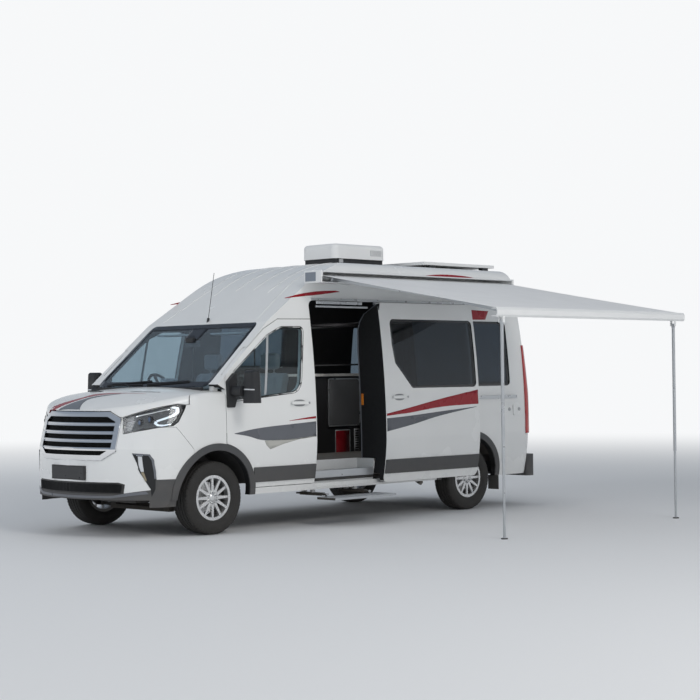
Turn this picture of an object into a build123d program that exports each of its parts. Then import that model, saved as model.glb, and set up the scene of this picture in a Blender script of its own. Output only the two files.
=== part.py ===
from build123d import *
import os
from math import atan2, cos, hypot, pi, radians, sin, sqrt

os.makedirs("parts", exist_ok=True)

# Lengths along the van are stations, measured back from the front bumper.
# X points to the van's left, Y to its rear and Z up.

# Driving dimensions, mm
length = 5940
half_width = 1031
roof_height = 2745
wheelbase = 3760
front_axle_station = 1018
wall = 60
nose_wall = 36
door_gap = 6
shut_gap = 3
seat_gap = 0.3
pane = 6
running_clearance = 0.05

# Wheels and tyres, 235/65 R16
tyre_radius = 356
tyre_width = 235
rim_radius = 208
hub_bore = 32
wheel_centre_x = 868
arch_radius = 460
flare_radius = 528
flare_proud = 14
king_pin_x = 790
rear_axle_station = front_axle_station + wheelbase

# Heights of the body's cross-section
skin_low = 300
sill_height = 360
widest_height = 850
sill_half_width = half_width - 86
shoulder_half_width = half_width - 126
shoulder_height = 2350
roof_corner_radius = 180
floor_top = 640
floor_thickness = 40
roof_seam = 2330

# Side profile, station and height of each bend
cowl_station, cowl_height = 1016, 1430
screen_top_station, screen_top_height = 1750, 2075
cap_station, cap_height = 2310, 2440
roof_start_station = 3300
rear_station = 5850
rear_lean = 75
rear_corner_radius = 110
wing_rear_station = 1134

# Nose: three tangent arcs in plan, and the bonnet's arc in side view
nose_radius, nose_turn = 1500, radians(30)
corner_radius, corner_turn = 410, radians(60)
lean_height, lean = 850, 0.25
bonnet_front = (89, 1208)
bonnet_middle = (450, 1345)
bonnet_rear = (1020, 1432)
bonnet_crown_radius = 9000
bonnet_rear_station = 985
brow_radius = 70
grille_top, grille_bottom = 1205, 745
plan_margin = 6

# Doors
door_front, door_rear = 1140, 2356
door_bottom, door_top = 430, 2104
slider_front, slider_length = 2363, 1523
slider_bottom, slider_top = 388, 2296
slider_travel, slider_out = 925, 92
rear_door_half = 905
rear_door_bottom, rear_door_top = 600, 2430

# Awning, drawn out
roller_x, roller_z = 1120, 2530
lead_x, lead_z = 3440, 2115
case_front, case_rear = 2290, 5330
arm_shoulders = (2520, 5110)
arm_inset = 300
arm_width, arm_height = 34, 28
elbow_offset = 21
leg_stations = (2410, 5200)
leg_radius, foot_radius = 16, 12.5
leg_upper_length = 1310

# Entry step and its runners
step_front, step_rear = 2300, 3200
step_inner, step_outer = 1060, 1350
step_low, step_high = 268, 290
runner_stations = (2440, 3060)
runner_low, runner_high = 302, 318

# Roof units
cooler_front, cooler_rear = 3400, 4210
cooler_half, cooler_lip, cooler_top = 270, 2815, 2980
cooler_base_inset = 30
solar_front, solar_rear = 4485, 5716

# Mirrors
mirror_reach = 1345

row_shift = -(lead_x + 36 - mirror_reach) / 2
row_place = Location((row_shift, 0, 0))


def y(station):
    return station - length / 2


def save(piece, name):
    placed = piece.part.moved(row_place)
    placed.label = name
    export_step(placed, f"parts/{name}.step")


def side(*points):
    """Side-view points, given as (station, height)."""
    return [(y(station), height) for station, height in points]


def bowed(start, end, bow):
    """Middle point of an arc that stands out by `bow` to the right of the way from start to end."""
    across, along = end[0] - start[0], end[1] - start[1]
    run = hypot(across, along)
    return ((start[0] + end[0]) / 2 + along / run * bow, (start[1] + end[1]) / 2 - across / run * bow)


def shifted(point, angle, inset):
    """A point of a side-view line that rises at `angle`, moved square to the line into the body."""
    return (point[0] + inset * sin(angle), point[1] - inset * cos(angle))


def crossing(first, first_angle, second, second_angle):
    """Where two lines meet, each given by a point and its angle."""
    dx, dz = second[0] - first[0], second[1] - first[1]
    reach = (dx * sin(second_angle) - dz * cos(second_angle)) / sin(second_angle - first_angle)
    return (first[0] + reach * cos(first_angle), first[1] + reach * sin(first_angle))


def circle_through(first, second, third):
    """Centre and radius of the circle through three side-view points."""
    def across(p, q):
        return ((p[0] + q[0]) / 2, (p[1] + q[1]) / 2), atan2(q[1] - p[1], q[0] - p[0]) + pi / 2
    (mid_one, angle_one), (mid_two, angle_two) = across(first, second), across(second, third)
    centre = crossing(mid_one, angle_one, mid_two, angle_two)
    return centre, hypot(first[0] - centre[0], first[1] - centre[1])


# Shared surfaces: the body's outer skin and the nose

front_view = Plane(origin=(0, -length, 0), x_dir=(1, 0, 0), z_dir=(0, -1, 0))


def section_sketch(inset, bottom):
    """Cross-section of the body: two bowed sides, rounded roof corners and a crowned roof."""
    low = (sill_half_width - inset, skin_low)
    bottom = min(bottom, skin_low)
    widest = (half_width - inset, widest_height)
    shoulder = (shoulder_half_width - inset, shoulder_height)
    top = roof_height - inset
    corner = (shoulder_half_width - 65 - inset, top - 29)
    with BuildSketch(front_view) as section:
        with BuildLine():
            if bottom < skin_low:
                Polyline((0, bottom), (low[0], bottom), low)
            else:
                Line((0, bottom), low)
            ThreePointArc(low, bowed(low, widest, 16), widest)
            ThreePointArc(widest, bowed(widest, shoulder, 32), shoulder)
            Line(shoulder, corner)
            ThreePointArc(corner, (corner[0] / 2, top - 7), (0, top))
            Line((0, top), (0, bottom))
        make_face()
        fillet(section.vertices().group_by(Axis.Y)[-2], roof_corner_radius - inset)
        mirror(about=Plane.YZ)
    return section.sketch


def profile_sketch(inset, bottom):
    """Side view of the cab and load space, from the windscreen to the rear doors."""
    screen_foot = (y(cowl_station), cowl_height)
    screen_top = (y(screen_top_station), screen_top_height)
    cap = (y(cap_station), cap_height)
    roof_start = (y(roof_start_station), roof_height - inset + 1)
    screen_angle = atan2(screen_top[1] - screen_foot[1], screen_top[0] - screen_foot[0])
    cap_angle = atan2(cap[1] - screen_top[1], cap[0] - screen_top[0])
    foot = shifted(screen_foot, screen_angle, inset)
    front = screen_foot[0] + inset
    rear = y(rear_station) - inset
    cap_inner = shifted(cap, cap_angle, inset)
    with BuildSketch(Plane.YZ.offset(-2 * half_width)) as profile:
        with BuildLine():
            Polyline(
                (front, bottom),
                crossing(foot, screen_angle, (front, 0), pi / 2),
                crossing(foot, screen_angle, cap_inner, cap_angle),
                cap_inner,
            )
            ThreePointArc(cap_inner, bowed(cap_inner, roof_start, -75), roof_start)
            Polyline(
                roof_start, (rear - rear_lean, roof_height - inset + 1),
                (rear, 1300), (rear, bottom), (front, bottom),
            )
        make_face()
    return profile.sketch


def body_envelope(inset, bottom, rounded=True):
    """The body's volume, `inset` inside its outer skin, with its rear corners rounded or left square."""
    with BuildPart() as envelope:
        extrude(section_sketch(inset, bottom), amount=2 * length, dir=(0, 1, 0))
        extrude(profile_sketch(inset, bottom), amount=4 * half_width, dir=(1, 0, 0), mode=Mode.INTERSECT)
        if rounded:
            rear = envelope.edges().filter_by_position(Axis.Y, y(rear_station - 120), y(rear_station + 1))
            rear = rear.filter_by_position(Axis.Z, bottom + 20, roof_height)
            corners = [edge for edge in rear if edge.length < 1500 and abs(edge.center().X) > 20]
            fillet(corners, rear_corner_radius - inset)
    return envelope.part


def nose_plan(inset):
    """Plan of the nose: a wide front arc, a tight corner and a long sweep into the side."""
    corner_x = (nose_radius - corner_radius) * sin(nose_turn)
    corner_y = nose_radius - (nose_radius - corner_radius) * cos(nose_turn)
    sweep_x = corner_x + corner_radius * sin(corner_turn)
    sweep_radius = (half_width + plan_margin - sweep_x) / (1 - sin(corner_turn))
    centre_x = corner_x + (corner_radius - sweep_radius) * sin(corner_turn)
    centre_y = corner_y - (corner_radius - sweep_radius) * cos(corner_turn)

    def on(cx, cy, radius, turn):
        return (cx + (radius - inset) * sin(turn), y(cy - (radius - inset) * cos(turn)))

    with BuildSketch() as plan:
        with BuildLine():
            front = on(0, nose_radius, nose_radius, 0)
            first = on(0, nose_radius, nose_radius, nose_turn)
            second = on(corner_x, corner_y, corner_radius, corner_turn)
            third = on(centre_x, centre_y, sweep_radius, pi / 2)
            ThreePointArc(front, on(0, nose_radius, nose_radius, nose_turn / 2), first)
            ThreePointArc(first, on(corner_x, corner_y, corner_radius, (nose_turn + corner_turn) / 2), second)
            ThreePointArc(second, on(centre_x, centre_y, sweep_radius, (corner_turn + pi / 2) / 2), third)
            back = (third[0], y(wing_rear_station))
            Polyline(third, back, (0, back[1]), front)
        make_face()
        mirror(about=Plane.YZ)
    return plan.sketch


bonnet_centre, bonnet_radius = circle_through(bonnet_front, bonnet_middle, bonnet_rear)


def nose_envelope(inset, bottom):
    """The nose's volume: bumper, grille, wings and bonnet, `inset` inside the skin."""
    plan = nose_plan(inset)
    lean_run = 900
    with BuildPart() as nose:
        extrude(plan.moved(Location((0, 0, bottom))), amount=lean_height - bottom, dir=(0, 0, 1))
        slanted = (0, lean, 1)
        extrude(plan.moved(Location((0, 0, lean_height))), amount=lean_run, dir=slanted)
        with BuildSketch(Plane.XY.offset(bottom)) as back_limit:
            with Locations((0, y(wing_rear_station) - 1500)):
                Rectangle(4 * half_width, 3000)
        extrude(amount=2 * roof_height, mode=Mode.INTERSECT)
        extrude(section_sketch(inset, bottom), amount=2 * length, dir=(0, 1, 0), mode=Mode.INTERSECT)
        centre = (0, y(bonnet_centre[0]), bonnet_centre[1])
        with BuildSketch(Plane(origin=centre, x_dir=(1, 0, 0), z_dir=(0, -1, 0))):
            crown = bonnet_radius - inset
            drop = bonnet_crown_radius - sqrt(bonnet_crown_radius**2 - 1200**2)
            with BuildLine():
                ThreePointArc((-1200, crown - drop), (0, crown), (1200, crown - drop))
                Polyline((1200, crown - drop), (1200, 400), (-1200, 400), (-1200, crown - drop))
            make_face()
        revolve(axis=Axis(centre, (1, 0, 0)), revolution_arc=360, mode=Mode.INTERSECT)
        brow = nose.edges().filter_by_position(Axis.Z, bonnet_front[1] - inset - 20, roof_height)
        brow = brow.filter_by_position(Axis.Y, y(-10), y(wing_rear_station - 20))
        fillet(brow, brow_radius - inset)
    return nose.part


outer_body = body_envelope(0, sill_height)
inner_body = body_envelope(wall, sill_height - 100, rounded=False)
outer_nose = nose_envelope(0, 300)
inner_nose = nose_envelope(nose_wall, 200)

with BuildPart() as body_skin:
    add(outer_body)
    add(inner_body, mode=Mode.SUBTRACT)

with BuildPart() as nose_skin:
    add(outer_nose)
    add(inner_nose, mode=Mode.SUBTRACT)



def side_core(inset):
    """Everything between the body's two side walls, at `inset` inside them, over the whole length."""
    with BuildPart() as core:
        extrude(section_sketch(inset, 0), amount=2 * length, dir=(0, 1, 0))
    return core.part


wall_core = side_core(wall)
post_core = side_core(nose_wall + 1)
rear_core = extrude(profile_sketch(wall, 0), amount=4 * half_width, dir=(1, 0, 0))
rear_opening_core = extrude(profile_sketch(wall + door_gap, 0), amount=4 * half_width, dir=(1, 0, 0))
opening_core = side_core(wall + door_gap)

far_left = Plane.YZ.offset(-2 * half_width)
across_all = 4 * half_width
left_only = Plane.YZ.offset(600)
half_reach = 900


# Side-view outlines

def front_door_outline(plane, gap):
    """Front door: upright edges, a screen pillar slope and a rounded top."""
    with BuildSketch(plane) as outline:
        with BuildLine():
            Polyline(*side(
                (door_front, door_bottom), (door_front, 1500), (1158, 1572),
                (1690, 1995), (1900, door_top - 6), (door_rear, door_top), (door_rear, door_bottom),
            ), close=True)
        make_face()
        corners = outline.vertices()
        top = [v for v in corners if v.Y > 1540 and v.Y < 2000]
        fillet(top, 90)
        with Locations((y(front_axle_station), tyre_radius)):
            Circle(flare_radius + door_gap, mode=Mode.SUBTRACT)
        if gap:
            offset(amount=gap, kind=Kind.INTERSECTION)
    return outline.sketch


def front_window_outline(plane, gap):
    """Front door window: belt rising to the rear, slanted rear edge with a wide lower corner."""
    with BuildSketch(plane) as outline:
        with BuildLine():
            Polyline(*side(
                (1262, 1296), (1262, 1572), (1742, 1932), (1930, 2014), (2236, 2020), (2140, 1370),
            ), close=True)
        make_face()
        corners = outline.vertices().sort_by(Axis.X)
        fillet(corners[-1], 45)
        fillet(outline.vertices().sort_by(Axis.Y)[1], 150)
        fillet(outline.vertices().filter_by_position(Axis.X, y(1700), y(1960)), 120)
        if gap:
            offset(amount=gap, kind=Kind.INTERSECTION)
    return outline.sketch


def box_outline(plane, front, rear, bottom, top, radius, gap=0):
    with BuildSketch(plane) as outline:
        with Locations(((y(front) + y(rear)) / 2, (bottom + top) / 2)):
            RectangleRounded(rear - front + 2 * gap, top - bottom + 2 * gap, radius + gap)
    return outline.sketch


def slider_window_outline(plane, gap):
    """Sliding door window: a long pane with its lower front corner cut on a slant."""
    front, rear = slider_front + slider_travel + 152, slider_front + slider_travel + slider_length - 36
    with BuildSketch(plane) as outline:
        with BuildLine():
            Polyline(*side(
                (front + 277, 1380), (front + 30, 1650), (front, 1850), (front, 2120), (rear, 2120),
                (rear, 1380),
            ), close=True)
        make_face()
        fillet(outline.vertices(), 55)
        if gap:
            offset(amount=gap, kind=Kind.INTERSECTION)
    return outline.sketch


def arch(radius, station, inner_x, outer_x):
    """A wheel arch's round space on the left side, down to below the sills."""
    with BuildPart() as space:
        with BuildSketch(Plane.YZ.offset(inner_x)):
            with Locations((y(station), tyre_radius)):
                Circle(radius)
            with Locations((y(station), tyre_radius - 500)):
                Rectangle(2 * radius, 1000)
        extrude(amount=outer_x - inner_x)
    return space.part


def both_sides(piece):
    return [piece, piece.mirror(Plane.YZ)]


front_arch = arch(arch_radius, front_axle_station, 500, 1200)
rear_arch = arch(arch_radius, rear_axle_station, 680, 1200)

# Roof split: along the seam, then down the cap to the top of the windscreen
roof_line = side((1735, 1900), (1735, 2010), (2190, roof_seam), (6000, roof_seam))


def roof_region(gap):
    with BuildSketch(far_left) as region:
        with BuildLine():
            Polyline(*[(p[0], p[1] + gap) for p in roof_line], (y(6000), 3000), (y(1400), 3000),
                     (y(1400), 1900 + gap), close=True)
        make_face()
    return region.sketch


def block(left, right, front, rear, low, high):
    """A box between two widths, two stations and two heights."""
    centre = ((left + right) / 2, (y(front) + y(rear)) / 2, (low + high) / 2)
    return Box(right - left, rear - front, high - low, mode=Mode.PRIVATE).moved(Location(centre))


# Rear door outline in the front view, its outer edge following the body's taper
def rear_door_outline(gap):
    with BuildSketch(front_view) as outline:
        with BuildLine():
            Polyline((3 - gap, rear_door_bottom - gap), (880 + gap, rear_door_bottom - gap),
                     (rear_door_half + gap, 850),
                     (790 + gap, 2350), (770 + gap, rear_door_top + gap), (3 - gap, rear_door_top + gap),
                     close=True)
        make_face()
    return outline.sketch


# Windscreen outline in the front view
def screen_outline(gap):
    with BuildSketch(front_view) as outline:
        with BuildLine():
            Polyline((-884, 1428), (884, 1428), (838, 2069), (-838, 2069), close=True)
        make_face()
        fillet(outline.vertices(), 60)
        if gap:
            offset(amount=gap, kind=Kind.INTERSECTION)
    return outline.sketch


# Opening for both rear doors, as deep as the rear wall
with BuildPart() as rear_doorway:
    extrude(rear_door_outline(door_gap), amount=2 * length, dir=(0, 1, 0))
    add(block(-1100, 1100, 5600, 6000, 0, 3000), mode=Mode.INTERSECT)
    add(rear_opening_core, mode=Mode.SUBTRACT)
    mirror(about=Plane.YZ)
rear_opening = rear_doorway.part


# Opening for the left front door, as deep as the wall
with BuildPart() as front_doorway:
    extrude(front_door_outline(left_only, door_gap), amount=half_reach, dir=(1, 0, 0))
    add(opening_core, mode=Mode.SUBTRACT)


# Body sides: pillars, sills, quarter panels and rear pillars, one frame on each side
def body_side(with_slider):
    with BuildPart() as panel:
        add(body_skin.part)
        extrude(roof_region(0), amount=across_all, dir=(1, 0, 0), mode=Mode.SUBTRACT)
        add(block(-838, 838, 900, 2000, 0, 3000), mode=Mode.SUBTRACT)
        add(rear_opening, mode=Mode.SUBTRACT)
        with BuildSketch(Plane.YZ):
            with Locations((0, 1400)):
                Rectangle(2 * length, 3400)
        extrude(amount=-1300, mode=Mode.SUBTRACT)
        add(front_doorway.part, mode=Mode.SUBTRACT)
        with BuildSketch(left_only):
            with BuildLine():
                Polyline(*side((900, 200), (900, 1500), (1000, 1475), (wing_rear_station + 3, 1400),
                               (wing_rear_station + 3, 200)), close=True)
            make_face()
        extrude(amount=half_reach, mode=Mode.SUBTRACT)
        if with_slider:
            extrude(box_outline(left_only, slider_front, slider_front + slider_length, slider_bottom,
                                slider_top, 60, door_gap), amount=half_reach, dir=(1, 0, 0),
                                mode=Mode.SUBTRACT)
        else:
            extrude(box_outline(left_only, 2750, 3750, 1620, 2090, 55), amount=half_reach,
                    dir=(1, 0, 0), mode=Mode.SUBTRACT)
        extrude(box_outline(left_only, 4845, 5480, 1385, 2120, 55), amount=half_reach,
                dir=(1, 0, 0), mode=Mode.SUBTRACT)
        add(rear_arch, mode=Mode.SUBTRACT)
        add(front_arch, mode=Mode.SUBTRACT)
        extrude(screen_outline(seat_gap), amount=length, dir=(0, 1, 0), mode=Mode.SUBTRACT)
        add(block(900, 940, 1490, 4300, sill_height, sill_height + 60))
        with BuildPart(mode=Mode.PRIVATE) as hinge_post:
            add(block(838, 990, 1060, 1131, 834, 1300))
            add(block(845, 905, 1075, 1131, 1290, 1445))
            add(block(900, 990, 1120, 1160, 830, 862))
            add(post_core, mode=Mode.INTERSECT)
        add(hinge_post.part)
    return panel.part


with BuildPart() as body_sides:
    add(body_side(True))
    add(body_side(False).mirror(Plane.YZ))
save(body_sides, "body_sides")



# Roof panel: the raised roof behind and above the windscreen, one shell
with BuildPart() as roof_panel:
    add(body_skin.part)
    extrude(roof_region(seat_gap), amount=across_all, dir=(1, 0, 0), mode=Mode.INTERSECT)
    extrude(screen_outline(seat_gap), amount=length, dir=(0, 1, 0), mode=Mode.SUBTRACT)
    add(rear_opening, mode=Mode.SUBTRACT)
    for doorway in both_sides(front_doorway.part):
        add(doorway, mode=Mode.SUBTRACT)
save(roof_panel, "roof_panel")

# Floor pan: bulkhead, floor, wheel tubs, step well, chassis rails and cross members in one pressing
rail_x, rail_width, rail_height = 430, 80, 110
rail_low = floor_top - floor_thickness - rail_height
step_well_front, step_well_rear = slider_front + 25, slider_front + 900
step_well_inner, step_tread = 700, 440
with BuildPart() as floor_pan:
    add(inner_body)
    add(block(-1100, 1100, 900, 6000, floor_top, 3000), mode=Mode.SUBTRACT)
    add(block(-1100, 1100, 900, 6000, 0, floor_top - floor_thickness), mode=Mode.SUBTRACT)
    with BuildPart(mode=Mode.PRIVATE) as bulkhead:
        add(body_skin.part)
        add(block(-838, 838, 1000, cowl_station + wall, 420, 1385), mode=Mode.INTERSECT)
    add(bulkhead.part)
    for tub in both_sides(arch(arch_radius + 20, rear_axle_station, 660, 950)):
        with BuildPart(mode=Mode.PRIVATE) as tub_shell:
            add(tub)
            add(block(-1100, 1100, 3900, 5600, 0, floor_top - floor_thickness), mode=Mode.SUBTRACT)
        add(tub_shell.part)
    for tub in both_sides(rear_arch):
        add(tub, mode=Mode.SUBTRACT)
    add(inner_body, mode=Mode.INTERSECT)
    add(bulkhead.part)
    for space in both_sides(arch(arch_radius + 12 + seat_gap, front_axle_station, 528 - seat_gap, 1200)):
        add(space, mode=Mode.SUBTRACT)
    for space in both_sides(block(945, 1100, 1400, 2366, 500, 700)):
        add(space, mode=Mode.SUBTRACT)
    add(block(step_well_inner, 1100, step_well_front, step_well_rear, 0, 3000), mode=Mode.SUBTRACT)
    with BuildPart(mode=Mode.PRIVATE) as well:
        add(block(step_well_inner - 20, 1100, step_well_front - 20, step_well_rear + 20, step_tread - 20,
                  floor_top - 1))
        add(block(step_well_inner, 1200, step_well_front, step_well_rear, step_tread, 3000),
            mode=Mode.SUBTRACT)
        add(inner_body, mode=Mode.INTERSECT)
    add(well.part)
    for x in (-rail_x, rail_x):
        add(block(x - rail_width / 2, x + rail_width / 2, 250, 5780, rail_low, floor_top - floor_thickness))
    add(block(-560, 560, 200, 260, rail_low, floor_top - floor_thickness))
    for left, right in ((-rail_x, -280), (280, rail_x)):
        for station in (520, 860):
            add(block(left, right, station - 30, station + 30, rail_low + 20, floor_top - floor_thickness))
    for station in (1120, 2050, 2950, 3850, 5500):
        add(block(-rail_x, rail_x, station - 40, station + 40, rail_low + 30, floor_top - floor_thickness))
    add(block(-600, 600, 5740, 5790, rail_low, floor_top - floor_thickness))
    with BuildSketch(Plane.XY.offset(rail_low)):
        with Locations((0, y(5610))):
            with GridLocations(2 * rail_x, 100, 2, 2):
                Circle(8.5)
    extrude(amount=60, mode=Mode.SUBTRACT)

# Channels under the floor for the entry step's runners
with BuildPart() as step_guides:
    for station in runner_stations:
        with BuildSketch(Plane.YZ.offset(700)):
            with Locations((y(station), (runner_low + runner_high) / 2)):
                Rectangle(54, runner_high - runner_low + 14)
                Rectangle(40 + 2 * seat_gap, runner_high - runner_low + 2 * seat_gap, mode=Mode.SUBTRACT)
            with Locations((y(station), runner_low - 6)):
                Rectangle(30, 20, mode=Mode.SUBTRACT)
        extrude(amount=320)
        add(block(720, 760, station - 20, station + 20, runner_high + 6, step_tread - 20))
        add(block(850, 880, station - 20, station + 20, runner_high + 6, step_tread - 20))

with BuildPart() as floor_with_guides:
    add(floor_pan.part)
    add(step_guides.part)
save(floor_with_guides, "floor_pan")

# Cab front: bonnet, bumper skin, wings
def lamp_outline(gap):
    with BuildSketch(front_view) as outline:
        with BuildLine():
            Polyline((603, 1146), (864, 1233), (964, 1268), (992, 1259), (990, 1215), (978, 1102),
                     (962, 1065), (830, 1030), (634, 990), close=True)
        make_face()
        if gap:
            offset(amount=gap, kind=Kind.INTERSECTION)
    return outline.sketch


def grille_outline(gap):
    with BuildSketch(front_view) as outline:
        with BuildLine():
            Polyline((-470, grille_top), (470, grille_top), (600, 1140), (600, 830), (450, grille_bottom),
                     (-450, grille_bottom), (-600, 830), (-600, 1140), close=True)
        make_face()
        if gap:
            offset(amount=gap, kind=Kind.INTERSECTION)
    return outline.sketch


def bonnet_region(gap):
    """Space above the parting line: over the grille, along the lamps and round to the wings."""
    with BuildPart() as region:
        with BuildSketch(front_view):
            with BuildLine():
                half = [(470, grille_top + 3), (545, 1155), (603, 1150), (864, 1237), (964, 1272),
                        (992, 1263), (1200, 1263)]
                left = [(-x, z) for x, z in half]
                Polyline(*[(x, z + gap) for x, z in half], (1200, 2000), (-1200, 2000),
                         *[(x, z + gap) for x, z in left[::-1]], close=True)
            make_face()
        extrude(amount=-2 * length)
        with BuildSketch(Plane.XY.offset(1000)):
            with BuildLine():
                half = [(1200, y(-200)), (1200, y(662)), (1030, y(662)), (958, y(735)),
                        (918, y(bonnet_rear_station))]
                half = [(x - gap, v - gap) for x, v in half]
                Polyline(*half, *[(-x, v) for x, v in half[::-1]], close=True)
            make_face()
        extrude(amount=1000, mode=Mode.INTERSECT)
    return region.part


with BuildPart() as bonnet:
    add(nose_skin.part)
    add(bonnet_region(shut_gap), mode=Mode.INTERSECT)
    extrude(grille_outline(shut_gap), amount=length - 2200, dir=(0, 1, 0), mode=Mode.SUBTRACT)
save(bonnet, "bonnet")

bonnet_space = bonnet_region(-shut_gap)


def bumper_region(gap):
    """Space ahead of the shut line that runs from the headlamp down to the wheel arch."""
    with BuildPart() as region:
        with BuildSketch(far_left):
            with BuildLine():
                Polyline(*side((-200, 300), (-200, 1300), (545, 1300), (545, 1062), (724, 836),
                               (724, 300)), close=True)
            make_face()
            if gap:
                offset(amount=gap, kind=Kind.INTERSECTION)
        extrude(amount=across_all)
        for left, right in ((900, 1200), (-1200, -900)):
            add(block(left, right, -300, 800, 1052 + gap, 2000), mode=Mode.SUBTRACT)
    return region.part


with BuildPart() as lamp_space:
    extrude(lamp_outline(0), amount=length, dir=(0, 1, 0))
    add(block(0, 1100, -200, 760, 900, 1400), mode=Mode.INTERSECT)
lamp_spaces = both_sides(lamp_space.part)

front_arches = both_sides(front_arch)
valance_top = 563

# Room inside both the bumper skin and the body sides, for the arch liners
with BuildPart() as nose_core:
    add(block(-1100, 1100, 0, 1800, 300, 1000))
    add(wall_core, mode=Mode.INTERSECT)
    with BuildPart(mode=Mode.PRIVATE) as bumper_room:
        add(block(-1100, 1100, 0, 735, 200, 1100))
        add(nose_envelope(nose_wall + seat_gap, 200), mode=Mode.SUBTRACT)
    add(bumper_room.part, mode=Mode.SUBTRACT)

with BuildPart() as bumper_volume:
    add(nose_skin.part)
    add(bumper_region(0), mode=Mode.INTERSECT)
    add(bonnet_space, mode=Mode.SUBTRACT)
    for space in lamp_spaces + front_arches:
        add(space, mode=Mode.SUBTRACT)
    extrude(grille_outline(0), amount=length - 2200, dir=(0, 1, 0), mode=Mode.SUBTRACT)


def valance_region(gap):
    """Unpainted lower part of the bumper: a band across, rising at the corners to the wheel arches."""
    with BuildPart() as region:
        with BuildSketch(front_view):
            with BuildLine():
                half = [(650, 524), (672, 436), (884, 468), (838, 580), (798, 667), (780, 776), (747, 815),
                        (874, 803), (896, 752), (908, valance_top), (1200, valance_top)]
                Polyline(*half, (1200, 0), (-1200, 0), *[(-x, z) for x, z in half[::-1]], close=True)
            make_face()
            if gap:
                offset(amount=gap, kind=Kind.INTERSECTION)
        extrude(amount=-2 * length)
    return region.part


with BuildPart() as front_bumper:
    add(bumper_volume.part)
    add(valance_region(0), mode=Mode.SUBTRACT)
save(front_bumper, "front_bumper")

# Front wings, each with its wheel arch liner
with BuildPart() as front_wings:
    add(nose_skin.part)
    add(bumper_region(shut_gap), mode=Mode.SUBTRACT)
    add(bonnet_space, mode=Mode.SUBTRACT)
    for space in lamp_spaces:
        add(space, mode=Mode.SUBTRACT)
    add(block(-840, 840, 0, 1200, 0, 2000), mode=Mode.SUBTRACT)
    for collar in both_sides(arch(arch_radius + 12, front_axle_station, 900, 1010)):
        with BuildPart(mode=Mode.PRIVATE) as wing_edge:
            add(collar)
            add(block(-1100, 1100, 735, 1125, 470, 2000), mode=Mode.INTERSECT)
            add(outer_nose, mode=Mode.INTERSECT)
        add(wing_edge.part)
    for liner in both_sides(arch(arch_radius + 12, front_axle_station, 528, 985)):
        with BuildPart(mode=Mode.PRIVATE) as liner_shell:
            add(liner)
            add(block(-1100, 1100, 0, 1800, 0, 470), mode=Mode.SUBTRACT)
            add(nose_core, mode=Mode.INTERSECT)
        add(liner_shell.part)
    for space in both_sides(arch(arch_radius, front_axle_station, 540, 1200)):
        add(space, mode=Mode.SUBTRACT)
    for slot in both_sides(block(843, 907, 1073, 1140, 1290, 1460)):
        add(slot, mode=Mode.SUBTRACT)
save(front_wings, "front_wings")

# Windscreen
with BuildPart() as windscreen:
    add(outer_body)
    add(body_envelope(pane, sill_height - 10), mode=Mode.SUBTRACT)
    extrude(screen_outline(0), amount=length, dir=(0, 1, 0), mode=Mode.INTERSECT)
    add(block(-1100, 1100, 900, 2000, 1300, 2200), mode=Mode.INTERSECT)
save(windscreen, "windscreen")


# Black scuttle tray ahead of the windscreen, with two wipers parked on the glass
with BuildPart() as scuttle_panel:
    with BuildSketch(Plane.YZ.offset(-830)):
        with BuildLine():
            Polyline(*side((988, 1366), (988, 1424), (1010, 1429), (1015.7, 1424), (1015.7, 1366)),
                     close=True)
        make_face()
    extrude(amount=1660)
screen_slope = atan2(screen_top_height - cowl_height, screen_top_station - cowl_station)
wiper_plane = Plane(origin=(0, y(cowl_station), cowl_height), x_dir=(1, 0, 0),
                    z_dir=(0, -sin(screen_slope), cos(screen_slope)))
with BuildPart() as wipers:
    for start in (-640, -60):
        with BuildSketch(wiper_plane.offset(0.5)):
            with Locations(Location((start + 300, 55), 4)):
                SlotOverall(620, 14)
        extrude(amount=14)
with BuildPart() as scuttle_with_wipers:
    add(scuttle_panel.part)
    add(wipers.part)
save(scuttle_with_wipers, "scuttle_panel")

# Grille: chromed frame, four bars and a dark mesh plate behind, in one moulding
mesh_layer = nose_envelope(30, 300)
with BuildPart() as grille:
    add(nose_envelope(-12, 300))
    add(inner_nose, mode=Mode.SUBTRACT)
    extrude(grille_outline(-seat_gap), amount=length - 2200, dir=(0, 1, 0), mode=Mode.INTERSECT)
    extrude(grille_outline(-48), amount=length - 2200, dir=(0, 1, 0), mode=Mode.SUBTRACT)
    with BuildPart(mode=Mode.PRIVATE) as mesh_plate:
        add(mesh_layer)
        add(inner_nose, mode=Mode.SUBTRACT)
        extrude(grille_outline(-20), amount=length - 2200, dir=(0, 1, 0), mode=Mode.INTERSECT)
    with BuildPart(mode=Mode.PRIVATE) as bars:
        add(nose_envelope(-4, 300))
        add(mesh_layer, mode=Mode.SUBTRACT)
        with BuildSketch(front_view):
            for height in (1085, 1005, 928, 851):
                with Locations((0, height)):
                    Rectangle(1180, 30)
        extrude(amount=-(length - 2200), mode=Mode.INTERSECT)
        extrude(grille_outline(-30), amount=length - 2200, dir=(0, 1, 0), mode=Mode.INTERSECT)
    add(mesh_plate.part)
    add(bars.part)
    add(block(-700, 700, -200, 0, 700, 1300), mode=Mode.SUBTRACT)
save(grille, "grille")

# Headlamps and fog lamps
with BuildPart() as headlamps:
    with BuildPart(mode=Mode.PRIVATE) as lamp:
        add(outer_nose)
        add(nose_envelope(50, 200), mode=Mode.SUBTRACT)
        extrude(lamp_outline(-2), amount=length, dir=(0, 1, 0), mode=Mode.INTERSECT)
        add(block(0, 1100, -200, 760, 900, 1400), mode=Mode.INTERSECT)
        add(bonnet_space, mode=Mode.SUBTRACT)
    for piece in both_sides(lamp.part):
        add(piece)
save(headlamps, "headlamps")


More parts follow.
